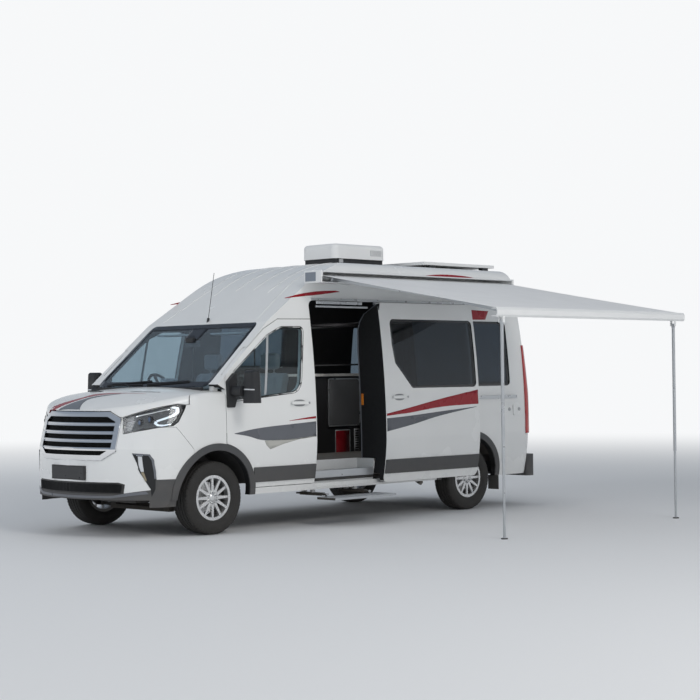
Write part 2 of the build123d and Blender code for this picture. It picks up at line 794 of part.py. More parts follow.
# Front doors
def front_door():
    with BuildPart() as door:
        add(outer_body)
        add(wall_core, mode=Mode.SUBTRACT)
        extrude(front_door_outline(left_only, 0), amount=half_reach, dir=(1, 0, 0), mode=Mode.INTERSECT)
        extrude(front_window_outline(left_only, 0), amount=half_reach, dir=(1, 0, 0), mode=Mode.SUBTRACT)
    return door.part


def front_door_glass():
    with BuildPart() as glass:
        add(body_envelope(14, sill_height - 10))
        add(body_envelope(14 + pane, sill_height - 20), mode=Mode.SUBTRACT)
        extrude(front_window_outline(left_only, -seat_gap), amount=half_reach, dir=(1, 0, 0),
                mode=Mode.INTERSECT)
    return glass.part


def mirror_unit():
    """Door mirror: base on the door corner, arm and housing, in one moulding."""
    with BuildPart() as unit:
        with BuildSketch(Plane.YZ.offset(1000)) as base:
            with BuildLine():
                Polyline(*side((1146, 1225), (1146, 1480), (1232, 1560), (1256, 1560), (1256, 1300),
                               (1230, 1225)), close=True)
            make_face()
            fillet(base.vertices(), 12)
        extrude(amount=52)
        add(outer_body, mode=Mode.SUBTRACT)
        with BuildSketch(Plane.YZ.offset(1040)) as arm:
            with Locations((y(1205), 1385)):
                Ellipse(38, 52)
        extrude(amount=150)
        with BuildSketch(Plane.XY.offset(1268)) as head:
            with Locations((1255, y(1270))):
                RectangleRounded(180, 130, 50)
        extrude(amount=316, taper=2)
        fillet(unit.edges().group_by(Axis.Z)[-1], 30)
    return unit.part


door_shape, glass_shape, mirror_shape = front_door(), front_door_glass(), mirror_unit()
for hand, index in (("left", 0), ("right", 1)):
    with BuildPart() as door:
        add(both_sides(door_shape)[index])
    save(door, f"{hand}_door")
    with BuildPart() as glass:
        add(both_sides(glass_shape)[index])
    save(glass, f"{hand}_door_glass")
    with BuildPart() as mirror_piece:
        add(both_sides(mirror_shape)[index])
    save(mirror_piece, f"{hand}_mirror")

# Sliding door, standing open on its rails
slider_place = Location((slider_out, slider_travel, 0))
with BuildPart() as sliding_door:
    with BuildPart(mode=Mode.PRIVATE) as closed_door:
        add(body_skin.part)
        extrude(box_outline(left_only, slider_front, slider_front + slider_length, slider_bottom,
                            slider_top, 60),
                amount=half_reach, dir=(1, 0, 0), mode=Mode.INTERSECT)
    add(closed_door.part.moved(slider_place))
    extrude(slider_window_outline(left_only, 0), amount=half_reach, dir=(1, 0, 0), mode=Mode.SUBTRACT)
save(sliding_door, "sliding_door")

# Rails and roller arms of the sliding door
with BuildPart() as sliding_door_rails:
    add(block(1000, 1054, 3900, 5560, 1236, 1276))
    add(block(1030, 1070, 4700, 4760, 1240, 1272))
    add(block(880, 936, 2400, 5560, 2306, 2326))
    add(block(920, 960, 3310, 3350, 2270, 2290))
    add(block(920, 934, 3310, 3350, 2288, 2308))
    add(outer_body, mode=Mode.SUBTRACT)
    add(block(850, 1010, 3310, 3350, 570, floor_top - floor_thickness - seat_gap))
    add(sliding_door.part, mode=Mode.SUBTRACT)
save(sliding_door_rails, "sliding_door_rails")

# Fixed side glass: sliding door, rear quarters and the right-hand side pane
with BuildPart() as side_windows:
    with BuildPart(mode=Mode.PRIVATE) as glass_layer:
        add(body_envelope(8, sill_height - 10))
        add(body_envelope(8 + pane, sill_height - 20), mode=Mode.SUBTRACT)
        add(block(600, 1100, 2300, 5600, 1200, 2200), mode=Mode.INTERSECT)
    with BuildPart(mode=Mode.PRIVATE) as quarter_pane:
        add(glass_layer.part)
        extrude(box_outline(left_only, 4845, 5480, 1385, 2120, 55, -seat_gap), amount=half_reach,
                dir=(1, 0, 0), mode=Mode.INTERSECT)
    with BuildPart(mode=Mode.PRIVATE) as middle_pane:
        add(glass_layer.part)
        extrude(box_outline(left_only, 2750, 3750, 1620, 2090, 55, -seat_gap), amount=half_reach,
                dir=(1, 0, 0), mode=Mode.INTERSECT)
    with BuildPart(mode=Mode.PRIVATE) as slider_pane:
        add(glass_layer.part.moved(Location((slider_out, 0, 0))))
        extrude(slider_window_outline(left_only, -seat_gap), amount=half_reach, dir=(1, 0, 0),
                mode=Mode.INTERSECT)
    for piece in both_sides(quarter_pane.part):
        add(piece)
    add(middle_pane.part.mirror(Plane.YZ))
    add(slider_pane.part)
save(side_windows, "side_windows")

# Rear doors, each with its window
rear_window = (120, 790, 1400, 2150)


def rear_door():
    with BuildPart() as door:
        add(outer_body)
        add(rear_core, mode=Mode.SUBTRACT)
        extrude(rear_door_outline(0), amount=2 * length, dir=(0, 1, 0), mode=Mode.INTERSECT)
        add(block(0, 1100, 5600, 6000, 0, 3000), mode=Mode.INTERSECT)
        with BuildSketch(front_view):
            with Locations(((rear_window[0] + rear_window[1]) / 2, (rear_window[2] + rear_window[3]) / 2)):
                RectangleRounded(rear_window[1] - rear_window[0], rear_window[3] - rear_window[2], 50)
        extrude(amount=-2 * length, mode=Mode.SUBTRACT)
        with BuildPart(mode=Mode.PRIVATE) as rear_glass:
            add(body_envelope(8, sill_height - 10))
            add(body_envelope(8 + pane, sill_height - 20), mode=Mode.SUBTRACT)
            with BuildSketch(front_view):
                with Locations(((rear_window[0] + rear_window[1]) / 2,
                                (rear_window[2] + rear_window[3]) / 2)):
                    RectangleRounded(rear_window[1] - rear_window[0] - 2 * seat_gap,
                                     rear_window[3] - rear_window[2] - 2 * seat_gap, 50)
            extrude(amount=-2 * length, mode=Mode.INTERSECT)
            add(block(0, 1100, rear_station - 200, 6000, 0, 3000), mode=Mode.INTERSECT)
        add(rear_glass.part)
    return door.part


rear_door_shape = rear_door()
for hand, index in (("left", 0), ("right", 1)):
    with BuildPart() as door:
        add(both_sides(rear_door_shape)[index])
    save(door, f"rear_door_{hand}")

# Rear bumper with a step, and tail lamps on the rear pillars
with BuildPart() as rear_bumper:
    with BuildSketch(Plane.XY.offset(330)):
        with Locations((0, y(length) - 80)):
            RectangleRounded(2 * 1010, 160, 70)
    extrude(amount=250)
    add(block(-1100, 1100, 5700, 5795, 0, 700), mode=Mode.SUBTRACT)
    add(outer_body, mode=Mode.SUBTRACT)
save(rear_bumper, "rear_bumper")

proud_body = body_envelope(-flare_proud, sill_height)
with BuildPart() as tail_lamps:
    with BuildPart(mode=Mode.PRIVATE) as lamp:
        add(block(915, 1100, 5730, 5900, 830, 1850))
        add(proud_body, mode=Mode.INTERSECT)
        add(outer_body, mode=Mode.SUBTRACT)
    for piece in both_sides(lamp.part):
        add(piece)
save(tail_lamps, "tail_lamps")

# Black cladding: arch flares, lower bumper, sill strips and mud flaps
proud_nose = nose_envelope(-flare_proud, 300)


def flare(station, first, last, skin, core):
    """Part of the left arch flare: a band round the wheel opening, standing proud of the skin."""
    with BuildPart() as band:
        with BuildSketch(Plane.YZ.offset(700)):
            with Locations((y(station), tyre_radius)):
                Circle(flare_radius)
                Circle(arch_radius, mode=Mode.SUBTRACT)
            with Locations((y(station), sill_height - 400)):
                Rectangle(4 * arch_radius, 800, mode=Mode.SUBTRACT)
        extrude(amount=500)
        add(block(600, 1200, first, last, 0, 1000), mode=Mode.INTERSECT)
        add(skin, mode=Mode.INTERSECT)
        add(core, mode=Mode.SUBTRACT)
    return band.part


front_flare_split = 1050
flap_station, flap_thickness, flap_bottom = 5262, 10, 200
with BuildPart() as left_flares:
    add(flare(front_axle_station, 400, front_flare_split, proud_nose, outer_nose))
    add(flare(front_axle_station, front_flare_split, 1700, proud_body, outer_body))
    add(flare(rear_axle_station, 4000, 5500, proud_body, outer_body))
with BuildPart() as body_cladding:
    for piece in both_sides(left_flares.part):
        add(piece)
    with BuildPart(mode=Mode.PRIVATE) as valance:
        add(nose_skin.part)
        add(bumper_region(0), mode=Mode.INTERSECT)
        add(valance_region(-seat_gap), mode=Mode.INTERSECT)
        add(block(-870, 870, -100, 900, 0, 370), mode=Mode.SUBTRACT)
        for space in front_arches:
            add(space, mode=Mode.SUBTRACT)
    add(valance.part)
    with BuildPart(mode=Mode.PRIVATE) as strip:
        add(block(900, 1200, 2380, 4230, 475, 630))
        add(proud_body, mode=Mode.INTERSECT)
        add(outer_body, mode=Mode.SUBTRACT)
    add(strip.part.mirror(Plane.YZ))
    with BuildPart(mode=Mode.PRIVATE) as mud_flap:
        add(block(900, 1010, flap_station, flap_station + flap_thickness, sill_height - 20, sill_height + 40))
        add(proud_body, mode=Mode.INTERSECT)
        add(outer_body, mode=Mode.SUBTRACT)
        add(block(850, 1000, flap_station, flap_station + flap_thickness, flap_bottom, sill_height))
    for piece in both_sides(mud_flap.part):
        add(piece)
save(body_cladding, "body_cladding")


# Running gear: the wheel is drawn once about the X axis, outer face towards +X
spoke_count, nut_count = 12, 6
hub_radius, hub_inner, hub_outer = 75, 20, 78
barrel_radius, rim_half, flange_radius = 190, 92, 220
disc_radius, disc_inner, disc_outer = 150, -40, -12
axle_station = {"front": front_axle_station, "rear": rear_axle_station}


def turned(*points):
    """A ring about the X axis from points given as (distance along X, radius)."""
    with BuildPart() as ring:
        with BuildSketch(Plane.XY):
            with BuildLine():
                Polyline(*points, close=True)
            make_face()
        revolve(axis=Axis.X)
    return ring.part


def road_wheel():
    """Cast wheel with twelve spokes and a brake disc behind them."""
    with BuildPart() as wheel:
        add(turned(
            (-rim_half, barrel_radius), (-rim_half, flange_radius), (-rim_half + 8, flange_radius),
            (-rim_half + 8, rim_radius - seat_gap), (rim_half - 8, rim_radius - seat_gap),
            (rim_half - 8, flange_radius), (rim_half, flange_radius), (rim_half, barrel_radius),
        ))
        add(turned((hub_inner, hub_bore), (hub_inner, 60), (55, hub_radius), (hub_outer, hub_radius - 4),
                   (hub_outer, 40), (hub_outer + 6, 30), (hub_outer + 6, 0), (hub_outer, 0),
                   (hub_outer, hub_bore)))
        with BuildPart(mode=Mode.PRIVATE) as spoke:
            with BuildSketch(Plane.YZ.offset(58)):
                with BuildLine():
                    Polyline((-17, 60), (17, 60), (11, barrel_radius + 4), (-11, barrel_radius + 4),
                             close=True)
                make_face()
            extrude(amount=22)
        for turn in range(spoke_count):
            add(spoke.part.rotate(Axis.X, turn * 360 / spoke_count))
        with BuildSketch(Plane.YZ.offset(hub_outer)):
            with PolarLocations(55, nut_count):
                Circle(8)
        extrude(amount=-26, mode=Mode.SUBTRACT)
        with BuildSketch(Plane.YZ.offset(hub_outer - 12)):
            with PolarLocations(55, nut_count):
                RegularPolygon(7.5, 6)
        extrude(amount=-14)
        add(turned((disc_inner, 90), (disc_inner, disc_radius), (disc_outer, disc_radius), (disc_outer, 80),
                   (hub_inner - seat_gap, 70), (hub_inner - seat_gap, hub_bore), (disc_outer, hub_bore),
                   (disc_outer, 70), (disc_inner, 80)))
    return wheel.part


def tyre_ring():
    """Tyre carcass: tread, shoulders, bulging walls and beads, hollow inside."""
    bead, bulge = rim_half - 8 - seat_gap, tyre_width / 2
    with BuildPart() as ring:
        with BuildSketch(Plane.XY) as half:
            with BuildLine():
                Polyline((0, tyre_radius), (60, tyre_radius - 1), (92, tyre_radius - 6))
                ThreePointArc((92, tyre_radius - 6), (bulge - 9, tyre_radius - 24),
                              (bulge - 5, tyre_radius - 46))
                ThreePointArc((bulge - 5, tyre_radius - 46), (bulge, 275), (bead, 222))
                Polyline((bead, 222), (bead, rim_radius), (bead - 16, rim_radius), (bead - 16, 222))
                ThreePointArc((bead - 16, 222), (bulge - 13, 272), (bulge - 22, tyre_radius - 44))
                Polyline((bulge - 22, tyre_radius - 44), (80, tyre_radius - 22), (0, tyre_radius - 16),
                         (0, tyre_radius))
            make_face()
            mirror(about=Plane.YZ)
        revolve(axis=Axis.X)
    return ring.part


wheel_shape, tyre_shape = road_wheel(), tyre_ring()
for end in ("front", "rear"):
    for hand, turn, sign in (("left", 0, 1), ("right", 180, -1)):
        place = Location((sign * wheel_centre_x, y(axle_station[end]), tyre_radius)) * Rotation(0, 0, turn)
        with BuildPart() as wheel:
            add(wheel_shape.moved(place))
        save(wheel, f"{end}_{hand}_wheel")
        with BuildPart() as tyre:
            add(tyre_shape.moved(place))
        save(tyre, f"{end}_{hand}_tyre")

# Steering knuckles: hub carrier, stub axle, caliper and steering arm
carrier_face = wheel_centre_x + disc_inner - 6
stub_tip = wheel_centre_x + hub_outer - 4
ball_reach, ball_radius = 130, 10
axle_z = tyre_radius


def caliper():
    """Brake caliper bridging the disc, behind the wheel's centre."""
    inner, outer = wheel_centre_x + disc_inner, wheel_centre_x + disc_outer
    with BuildPart() as bridge:
        add(block(inner - 30, outer + 24, front_axle_station + 96, front_axle_station + 168, axle_z - 52,
                  axle_z + 52))
        add(block(inner - 6, outer + 6, front_axle_station + 90, front_axle_station + 157, axle_z - 60,
                  axle_z + 60),
            mode=Mode.SUBTRACT)
        with BuildSketch(Plane.YZ.offset(inner - 40)):
            with Locations((y(front_axle_station), axle_z)):
                Circle(barrel_radius - 10)
        extrude(amount=120, mode=Mode.INTERSECT)
    return bridge.part


with BuildPart() as hub_carrier:
    with BuildSketch(Plane.YZ.offset(760)):
        with Locations((y(front_axle_station), axle_z)):
            Circle(52)
    extrude(amount=carrier_face - 760)
    with BuildSketch(Plane.YZ.offset(760)):
        with Locations((y(front_axle_station), axle_z)):
            Circle(hub_bore - running_clearance)
    extrude(amount=stub_tip - 760)
    add(block(carrier_face - 12, carrier_face, front_axle_station, front_axle_station + 110, axle_z - 30,
              axle_z + 30))
    add(caliper())

with BuildPart() as knuckle_shape:
    add(hub_carrier.part)
    add(block(king_pin_x - 15, king_pin_x + 15, front_axle_station - 24, front_axle_station + 24,
              axle_z - ball_reach + 15, axle_z + ball_reach - 15))
    for level in (axle_z - ball_reach - 12, axle_z + ball_reach - 15):
        with BuildSketch(Plane.XY.offset(level)):
            with Locations((king_pin_x, y(front_axle_station))):
                Circle(ball_radius)
        extrude(amount=27)
    add(block(768, 790, front_axle_station, front_axle_station + 145, axle_z - 60, axle_z - 36))
    with BuildSketch(Plane.YZ.offset(760)):
        with Locations((y(front_axle_station), axle_z)):
            Circle(26)
    extrude(amount=-8)
for hand, index in (("left", 0), ("right", 1)):
    with BuildPart() as knuckle:
        add(both_sides(knuckle_shape.part)[index])
    save(knuckle, f"{hand}_knuckle")

# Front suspension: subframe, wishbones, struts, drive shafts and steering rack
with BuildPart() as suspension_half:
    with BuildSketch(Plane.XY.offset(axle_z - ball_reach - 12)) as wishbone:
        with BuildLine():
            Polyline((380, y(front_axle_station - 130)), (700, y(front_axle_station - 30)),
                     (king_pin_x, y(front_axle_station - 22)), (king_pin_x, y(front_axle_station + 22)),
                     (700, y(front_axle_station + 30)), (380, y(front_axle_station + 130)), close=True)
        make_face()
        with Locations((king_pin_x, y(front_axle_station))):
            Circle(22)
            Circle(ball_radius + 0.1, mode=Mode.SUBTRACT)
        with Locations((500, y(front_axle_station))):
            RectangleRounded(150, 100, 30, mode=Mode.SUBTRACT)
    extrude(amount=24)
    strut_x = 640
    with BuildSketch(Plane.XY.offset(axle_z + ball_reach - 12)):
        with Locations(((strut_x + king_pin_x) / 2, y(front_axle_station))):
            SlotOverall(king_pin_x - strut_x + 44, 44)
        with Locations((king_pin_x, y(front_axle_station))):
            Circle(ball_radius + 0.1, mode=Mode.SUBTRACT)
    extrude(amount=24)
    for radius, low, high in ((28, axle_z + ball_reach - 12, 830), (58, 596, 604), (58, 770, 778)):
        with BuildSketch(Plane.XY.offset(low)):
            with Locations((strut_x, y(front_axle_station))):
                Circle(radius)
        extrude(amount=high - low)
    for coil in range(6):
        with BuildPart(mode=Mode.PRIVATE) as turn:
            with BuildSketch(Plane.XZ.offset(-y(front_axle_station))):
                with Locations((strut_x + 46, 616 + coil * 28)):
                    Circle(7)
            revolve(axis=Axis((strut_x, y(front_axle_station), 0), (0, 0, 1)))
        add(turn.part)
    for disc in range(6):
        with BuildSketch(Plane.XY.offset(610 + disc * 28)):
            with Locations((strut_x, y(front_axle_station))):
                Circle(42)
        extrude(amount=12)
    with BuildPart(mode=Mode.PRIVATE) as arch_limit:
        with BuildSketch(Plane.YZ.offset(300)):
            with Locations((y(front_axle_station), tyre_radius)):
                Circle(arch_radius - seat_gap)
        extrude(amount=520)
    add(arch_limit.part, mode=Mode.INTERSECT)
    with BuildSketch(Plane.YZ.offset(280 + seat_gap)):
        with Locations((y(front_axle_station), axle_z)):
            Circle(15)
    extrude(amount=738 - 280 - seat_gap)
    with BuildSketch(Plane.YZ.offset(280 + seat_gap)):
        with Locations((y(front_axle_station), axle_z)):
            Circle(48)
    extrude(amount=60)
with BuildPart() as front_suspension:
    for piece in both_sides(suspension_half.part):
        add(piece)
    add(block(-400, 400, front_axle_station - 150, front_axle_station - 90, 205, 245))
    add(block(-400, 400, front_axle_station + 90, front_axle_station + 150, 205, 245))
    for x in (-430, 430):
        add(block(x - 40, x + 40, front_axle_station - 150, front_axle_station - 90, 205, rail_low))
        add(block(x - 40, x + 40, front_axle_station + 90, front_axle_station + 150, 205, rail_low))
    with BuildSketch(Plane.YZ.offset(-340)):
        with Locations((y(front_axle_station + 120), 300)):
            Circle(26)
    extrude(amount=680)
    with BuildSketch(Plane.YZ.offset(-520)):
        with Locations((y(front_axle_station + 120), 300)):
            Circle(11)
    extrude(amount=1040)
    for x in (-250, 250):
        add(block(x - 20, x + 20, front_axle_station + 100, front_axle_station + 140, 240, 300))
save(front_suspension, "front_suspension")

# Engine, as one plain block
with BuildPart() as engine:
    add(block(-280, 280, 420, 960, 450, 1050))
    fillet(engine.edges().filter_by(Axis.X), 24)
    add(block(-280, 280, 600, 1000, axle_z - 60, 500))
save(engine, "engine")

# Rear axle: beam, leaf springs, dampers and brakes
spring_x, spring_width = 600, 70
with BuildPart() as axle_half:
    with BuildSketch(Plane.YZ):
        with Locations((y(rear_axle_station), axle_z)):
            Circle(38)
    extrude(amount=carrier_face - 20)
    with BuildSketch(Plane.YZ.offset(carrier_face - 24)):
        with Locations((y(rear_axle_station), axle_z)):
            Circle(62)
    extrude(amount=24)
    with BuildSketch(Plane.YZ.offset(carrier_face - 24)):
        with Locations((y(rear_axle_station), axle_z)):
            Circle(hub_bore - running_clearance)
    extrude(amount=stub_tip - carrier_face + 24)
    add(block(carrier_face - 12, carrier_face, rear_axle_station, rear_axle_station + 110, axle_z - 30,
              axle_z + 30))
    add(caliper().moved(Location((0, wheelbase, 0))))
    with BuildSketch(Plane.YZ.offset(spring_x - spring_width / 2)):
        with BuildLine():
            ends = side((rear_axle_station - 640, 500), (rear_axle_station, 412),
                        (rear_axle_station + 640, 500))
            upper = [(v, z + 24) for v, z in ends]
            ThreePointArc(*ends)
            Line(ends[2], upper[2])
            ThreePointArc(*upper[::-1])
            Line(upper[0], ends[0])
        make_face()
    extrude(amount=spring_width)
    add(block(spring_x - 50, spring_x + 50, rear_axle_station - 60, rear_axle_station + 60, 380, 450))
    for station in (rear_axle_station - 625, rear_axle_station + 625):
        add(block(spring_x - 42, spring_x + 42, station - 30, station + 30, 500, floor_top - floor_thickness))
    with BuildSketch(Plane.XY.offset(axle_z)):
        with Locations((510, y(rear_axle_station + 20))):
            Circle(26)
    extrude(amount=floor_top - floor_thickness - axle_z)
with BuildPart() as rear_axle:
    for piece in both_sides(axle_half.part):
        add(piece)
save(rear_axle, "rear_axle")

# Fuel tank and exhaust
with BuildPart() as fuel_tank:
    add(block(-860, -500, 2500, 3600, 370, 585))
    fillet(fuel_tank.edges(), 40)
    for station in (2750, 3350):
        add(block(-880, -480, station - 20, station + 20, 362, floor_top - floor_thickness))
save(fuel_tank, "fuel_tank")

with BuildPart() as exhaust:
    exhaust_x = 250
    with BuildLine() as path:
        FilletPolyline((exhaust_x, y(1080), 440), (exhaust_x, y(4060), 440), (700, y(4110), 400),
                       (860, y(4110), 330), radius=60)
    with BuildSketch(Plane(origin=path.line @ 0, z_dir=path.line % 0)):
        Circle(26)
    sweep()
    with BuildSketch(Plane.XZ.offset(-y(2900))):
        with Locations((exhaust_x, 440)):
            Ellipse(120, 74)
    extrude(amount=-700)
    for station in (2050, 3850):
        add(block(exhaust_x - 15, exhaust_x + 15, station - 15, station + 15, 450, rail_low + 30))
save(exhaust, "exhaust")

# Entry step on two runners, drawn out under the doorway
with BuildPart() as entry_step:
    with BuildSketch(Plane.XY.offset(step_low)):
        with Locations(((step_inner + step_outer) / 2, (y(step_front) + y(step_rear)) / 2)):
            RectangleRounded(step_outer - step_inner, step_rear - step_front, 30)
    extrude(amount=step_high - step_low)
    for station in runner_stations:
        add(block(640, step_inner + 26, station - 20, station + 20, runner_low, runner_high))
        add(block(step_inner, step_inner + 26, station - 8, station + 8, step_low, runner_low))
save(entry_step, "entry_step")

# Awning: open case with a roller, two folding arms, a front rail and two legs
awning_slope = atan2(roller_z - lead_z, lead_x - roller_x)
roller_centre, roller_radius = (1010, 2532), 36
shoulder_x = 1100
cloth_rise = 42
arm_length, rest_angle = 1215.7, radians(14.3)
rest_reach = 2 * arm_length * cos(rest_angle)
down, out = sin(awning_slope), cos(awning_slope)
tangent = (roller_centre[0] + roller_radius * down, roller_centre[1] + roller_radius * out)


def cloth_height(x):
    return tangent[1] - (x - tangent[0]) * down / out


shoulder_z = cloth_height(shoulder_x) - cloth_rise / out
rail_pivot = (shoulder_x + rest_reach * out, shoulder_z - rest_reach * down)
pin_radius, pin_fit, eye_radius = 6, 0.1, 21


def awning_plane(station):
    return Plane(origin=(shoulder_x, y(station), shoulder_z), x_dir=(out, 0, -down), z_dir=(down, 0, out))


def arm_piece(plane, start, angle, lateral, low_start, high_start, low_end, high_end, pin_end):
    """One arm tube between two pivots, offset to one side, with an eye at each end."""
    along, across = Vector(cos(angle), sin(angle)), Vector(-sin(angle), cos(angle))
    finish = start + along * arm_length
    with BuildPart() as arm:
        middle = (start + finish) / 2 + across * lateral
        with BuildSketch(plane.offset(-arm_height / 2)):
            with Locations(Location((middle.X, middle.Y), angle * 180 / pi)):
                Rectangle(arm_length - 56, arm_width)
        extrude(amount=arm_height)
        for centre, low, high in ((start, low_start, high_start), (finish, low_end, high_end)):
            with BuildSketch(plane.offset(low)):
                with Locations((centre.X, centre.Y)):
                    Circle(eye_radius)
                reach = 34 if centre is start else -34
                edge = centre + along * reach
                tip = edge + across * (lateral + (arm_width / 2 if lateral > 0 else -arm_width / 2))
                root = centre + across * (eye_radius if lateral > 0 else -eye_radius)
                with BuildLine():
                    Polyline((centre.X, centre.Y), (root.X, root.Y), (tip.X, tip.Y), (edge.X, edge.Y),
                             close=True)
                make_face()
            extrude(amount=high - low)
        for centre, low, high in ((start, low_start, high_start), (finish, low_end, high_end)):
            with BuildSketch(plane.offset(low - 1)):
                with Locations((centre.X, centre.Y)):
                    Circle(pin_radius + pin_fit)
            extrude(amount=high - low + 2, mode=Mode.SUBTRACT)
        if pin_end:
            with BuildSketch(plane.offset(low_end)):
                with Locations((finish.X, finish.Y)):
                    Circle(pin_radius + pin_fit + 0.01)
            extrude(amount=high_end - low_end)
            with BuildSketch(plane.offset(low_end)):
                with Locations((finish.X, finish.Y)):
                    Circle(pin_radius)
            extrude(amount=arm_height)
    return arm.part


half_arm = arm_height / 2
for name, station, hand in (("front", arm_shoulders[0], 1), ("rear", arm_shoulders[1], -1)):
    plane = awning_plane(station)
    elbow = Vector(arm_length * cos(rest_angle), hand * arm_length * sin(rest_angle))
    with BuildPart() as inner_arm:
        add(arm_piece(plane, Vector(0, 0), hand * rest_angle, hand * elbow_offset,
                      -half_arm, half_arm, -half_arm, -seat_gap / 2, True))
    save(inner_arm, f"awning_arm_{name}_inner")
    with BuildPart() as outer_arm:
        add(arm_piece(plane, elbow, -hand * rest_angle, hand * elbow_offset,
                      seat_gap / 2, half_arm, -half_arm, half_arm, False))
    save(outer_arm, f"awning_arm_{name}_outer")

with BuildPart() as awning_case:
    with BuildSketch(Plane.XZ.offset(-y(case_front))):
        with Locations(((950 + 1200) / 2, (2470 + 2590) / 2)):
            RectangleRounded(250, 120, 24)
        with Locations(((962 + 1300) / 2, (2482 + 2578) / 2)):
            Rectangle(1300 - 962, 2578 - 2482, mode=Mode.SUBTRACT)
        with Locations((1250, 2480)):
            Rectangle(200, 60, mode=Mode.SUBTRACT)
    extrude(amount=-(case_rear - case_front))
    for station in (case_front, case_rear - 12):
        with BuildSketch(Plane.XZ.offset(-y(station))):
            with BuildLine():
                Polyline((955, 2476), (1150, 2476), (1195, 2540), (1195, 2584), (955, 2584), close=True)
            make_face()
        extrude(amount=-12)
    with BuildSketch(Plane.XZ.offset(-y(case_front + 12))):
        with Locations(roller_centre):
            Circle(roller_radius)
    extrude(amount=-(case_rear - case_front - 24))
    for station in arm_shoulders:
        with BuildSketch(awning_plane(station).offset(-half_arm - seat_gap)):
            Circle(eye_radius)
        extrude(amount=-60)
    add(block(900, 1300, case_front - 10, case_rear + 10, 2300, 2470.5), mode=Mode.SUBTRACT)
    for station in arm_shoulders:
        with BuildSketch(awning_plane(station).offset(-half_arm - seat_gap - 5)):
            Circle(pin_radius)
        extrude(amount=arm_height + 5)
    with BuildPart(mode=Mode.PRIVATE) as brackets:
        for station in (2500, 3300, 4200, 5120):
            add(block(820, 955, station - 30, station + 30, 2476, 2584))
        add(outer_body, mode=Mode.SUBTRACT)
    add(brackets.part)
save(awning_case, "awning_case")

rail_front, rail_back = lead_x + 36, lead_x - 40
rail_bottom, rail_top = 2056, 2137
leg_pivot_z = 2012
lead_front, lead_rear = 2310, 5360
with BuildPart() as awning_lead_rail:
    with BuildSketch(Plane.XZ.offset(-y(lead_front))):
        with BuildLine():
            Polyline((rail_back, rail_bottom), (rail_front - 14, rail_bottom - 6),
                     (rail_front, rail_bottom + 14),
                     (rail_front, rail_top - 22), (rail_front - 18, rail_top), (rail_back, rail_top - 6),
                     (rail_back, rail_top - 12), (rail_front - 22, rail_top - 12),
                     (rail_front - 12, rail_top - 26),
                     (rail_front - 12, rail_bottom + 16), (rail_front - 22, rail_bottom + 8),
                     (rail_back, rail_bottom + 8), close=True)
        make_face()
    extrude(amount=-(lead_rear - lead_front))
    for station in arm_shoulders:
        at_pivot = Plane(origin=(rail_pivot[0], y(station), rail_pivot[1]), x_dir=(out, 0, -down),
                         z_dir=(down, 0, out))
        with BuildPart(mode=Mode.PRIVATE) as post:
            with BuildSketch(at_pivot.offset(-half_arm - seat_gap)):
                Circle(14)
            extrude(amount=-40)
            with BuildSketch(at_pivot.offset(-half_arm - seat_gap - 5)):
                Circle(pin_radius)
            extrude(amount=arm_height + 5)
            add(block(rail_back, rail_front, station - 50, station + 50, rail_bottom + 2, rail_top),
                mode=Mode.INTERSECT)
        add(post.part)
    for station in leg_stations:
        for across in (lead_x - 28, lead_x + 18):
            add(block(across, across + 8, station - 16, station + 16, leg_pivot_z - 14, rail_bottom + 4))
        with BuildSketch(Plane.YZ.offset(lead_x - 28)):
            with Locations((y(station), leg_pivot_z)):
                Circle(pin_radius)
        extrude(amount=54)
save(awning_lead_rail, "awning_lead_rail")

foot_length = 1180
for name, station in (("front", leg_stations[0]), ("rear", leg_stations[1])):
    with BuildPart() as leg:
        with BuildSketch(Plane.XY.offset(leg_pivot_z - leg_upper_length)):
            with Locations((lead_x, y(station))):
                Circle(leg_radius)
                Circle(foot_radius + seat_gap, mode=Mode.SUBTRACT)
        extrude(amount=leg_upper_length - 26)
        with BuildSketch(Plane.XY.offset(leg_pivot_z - 40)):
            with Locations((lead_x, y(station))):
                Circle(leg_radius)
        extrude(amount=16)
        add(block(lead_x - 14, lead_x + 14, station - 12, station + 12, leg_pivot_z - 30, leg_pivot_z + 12))
        with BuildSketch(Plane.YZ.offset(lead_x - 20)):
            with Locations((y(station), leg_pivot_z)):
                Circle(pin_radius + pin_fit)
        extrude(amount=40, mode=Mode.SUBTRACT)
    save(leg, f"awning_leg_{name}")
    with BuildPart() as foot:
        with BuildSketch(Plane.XY.offset(8)):
            with Locations((lead_x, y(station))):
                Circle(foot_radius)
        extrude(amount=foot_length)
        with BuildSketch(Plane.XY):
            with Locations((lead_x, y(station))):
                Circle(32)
        extrude(amount=10)
    save(foot, f"awning_foot_{name}")

cloth_front, cloth_rear = 2330, 5290
with BuildPart() as awning_fabric:
    with BuildSketch(Plane.XZ.offset(-y(cloth_front))):
        end_x = rail_back + 30
        with BuildLine():
            Polyline((tangent[0], tangent[1] + 0.3), (end_x, cloth_height(end_x) + 0.3),
                     (end_x, cloth_height(end_x) + 2.3), (tangent[0], tangent[1] + 2.3), close=True)
        make_face()
    extrude(amount=-(cloth_rear - cloth_front))
save(awning_fabric, "awning_fabric")

# Roof units
with BuildPart() as air_conditioner:
    add(block(-cooler_half, cooler_half, cooler_front, cooler_rear, cooler_lip, cooler_top))
    fillet(air_conditioner.edges().filter_by(Axis.Z), 75)
    fillet(air_conditioner.faces().sort_by(Axis.Z)[-1].edges(), 45)
    add(block(cooler_base_inset - cooler_half, cooler_half - cooler_base_inset, cooler_front + cooler_base_inset,
              cooler_rear - cooler_base_inset, 2650, cooler_lip))
    add(outer_body, mode=Mode.SUBTRACT)
save(air_conditioner, "air_conditioner")

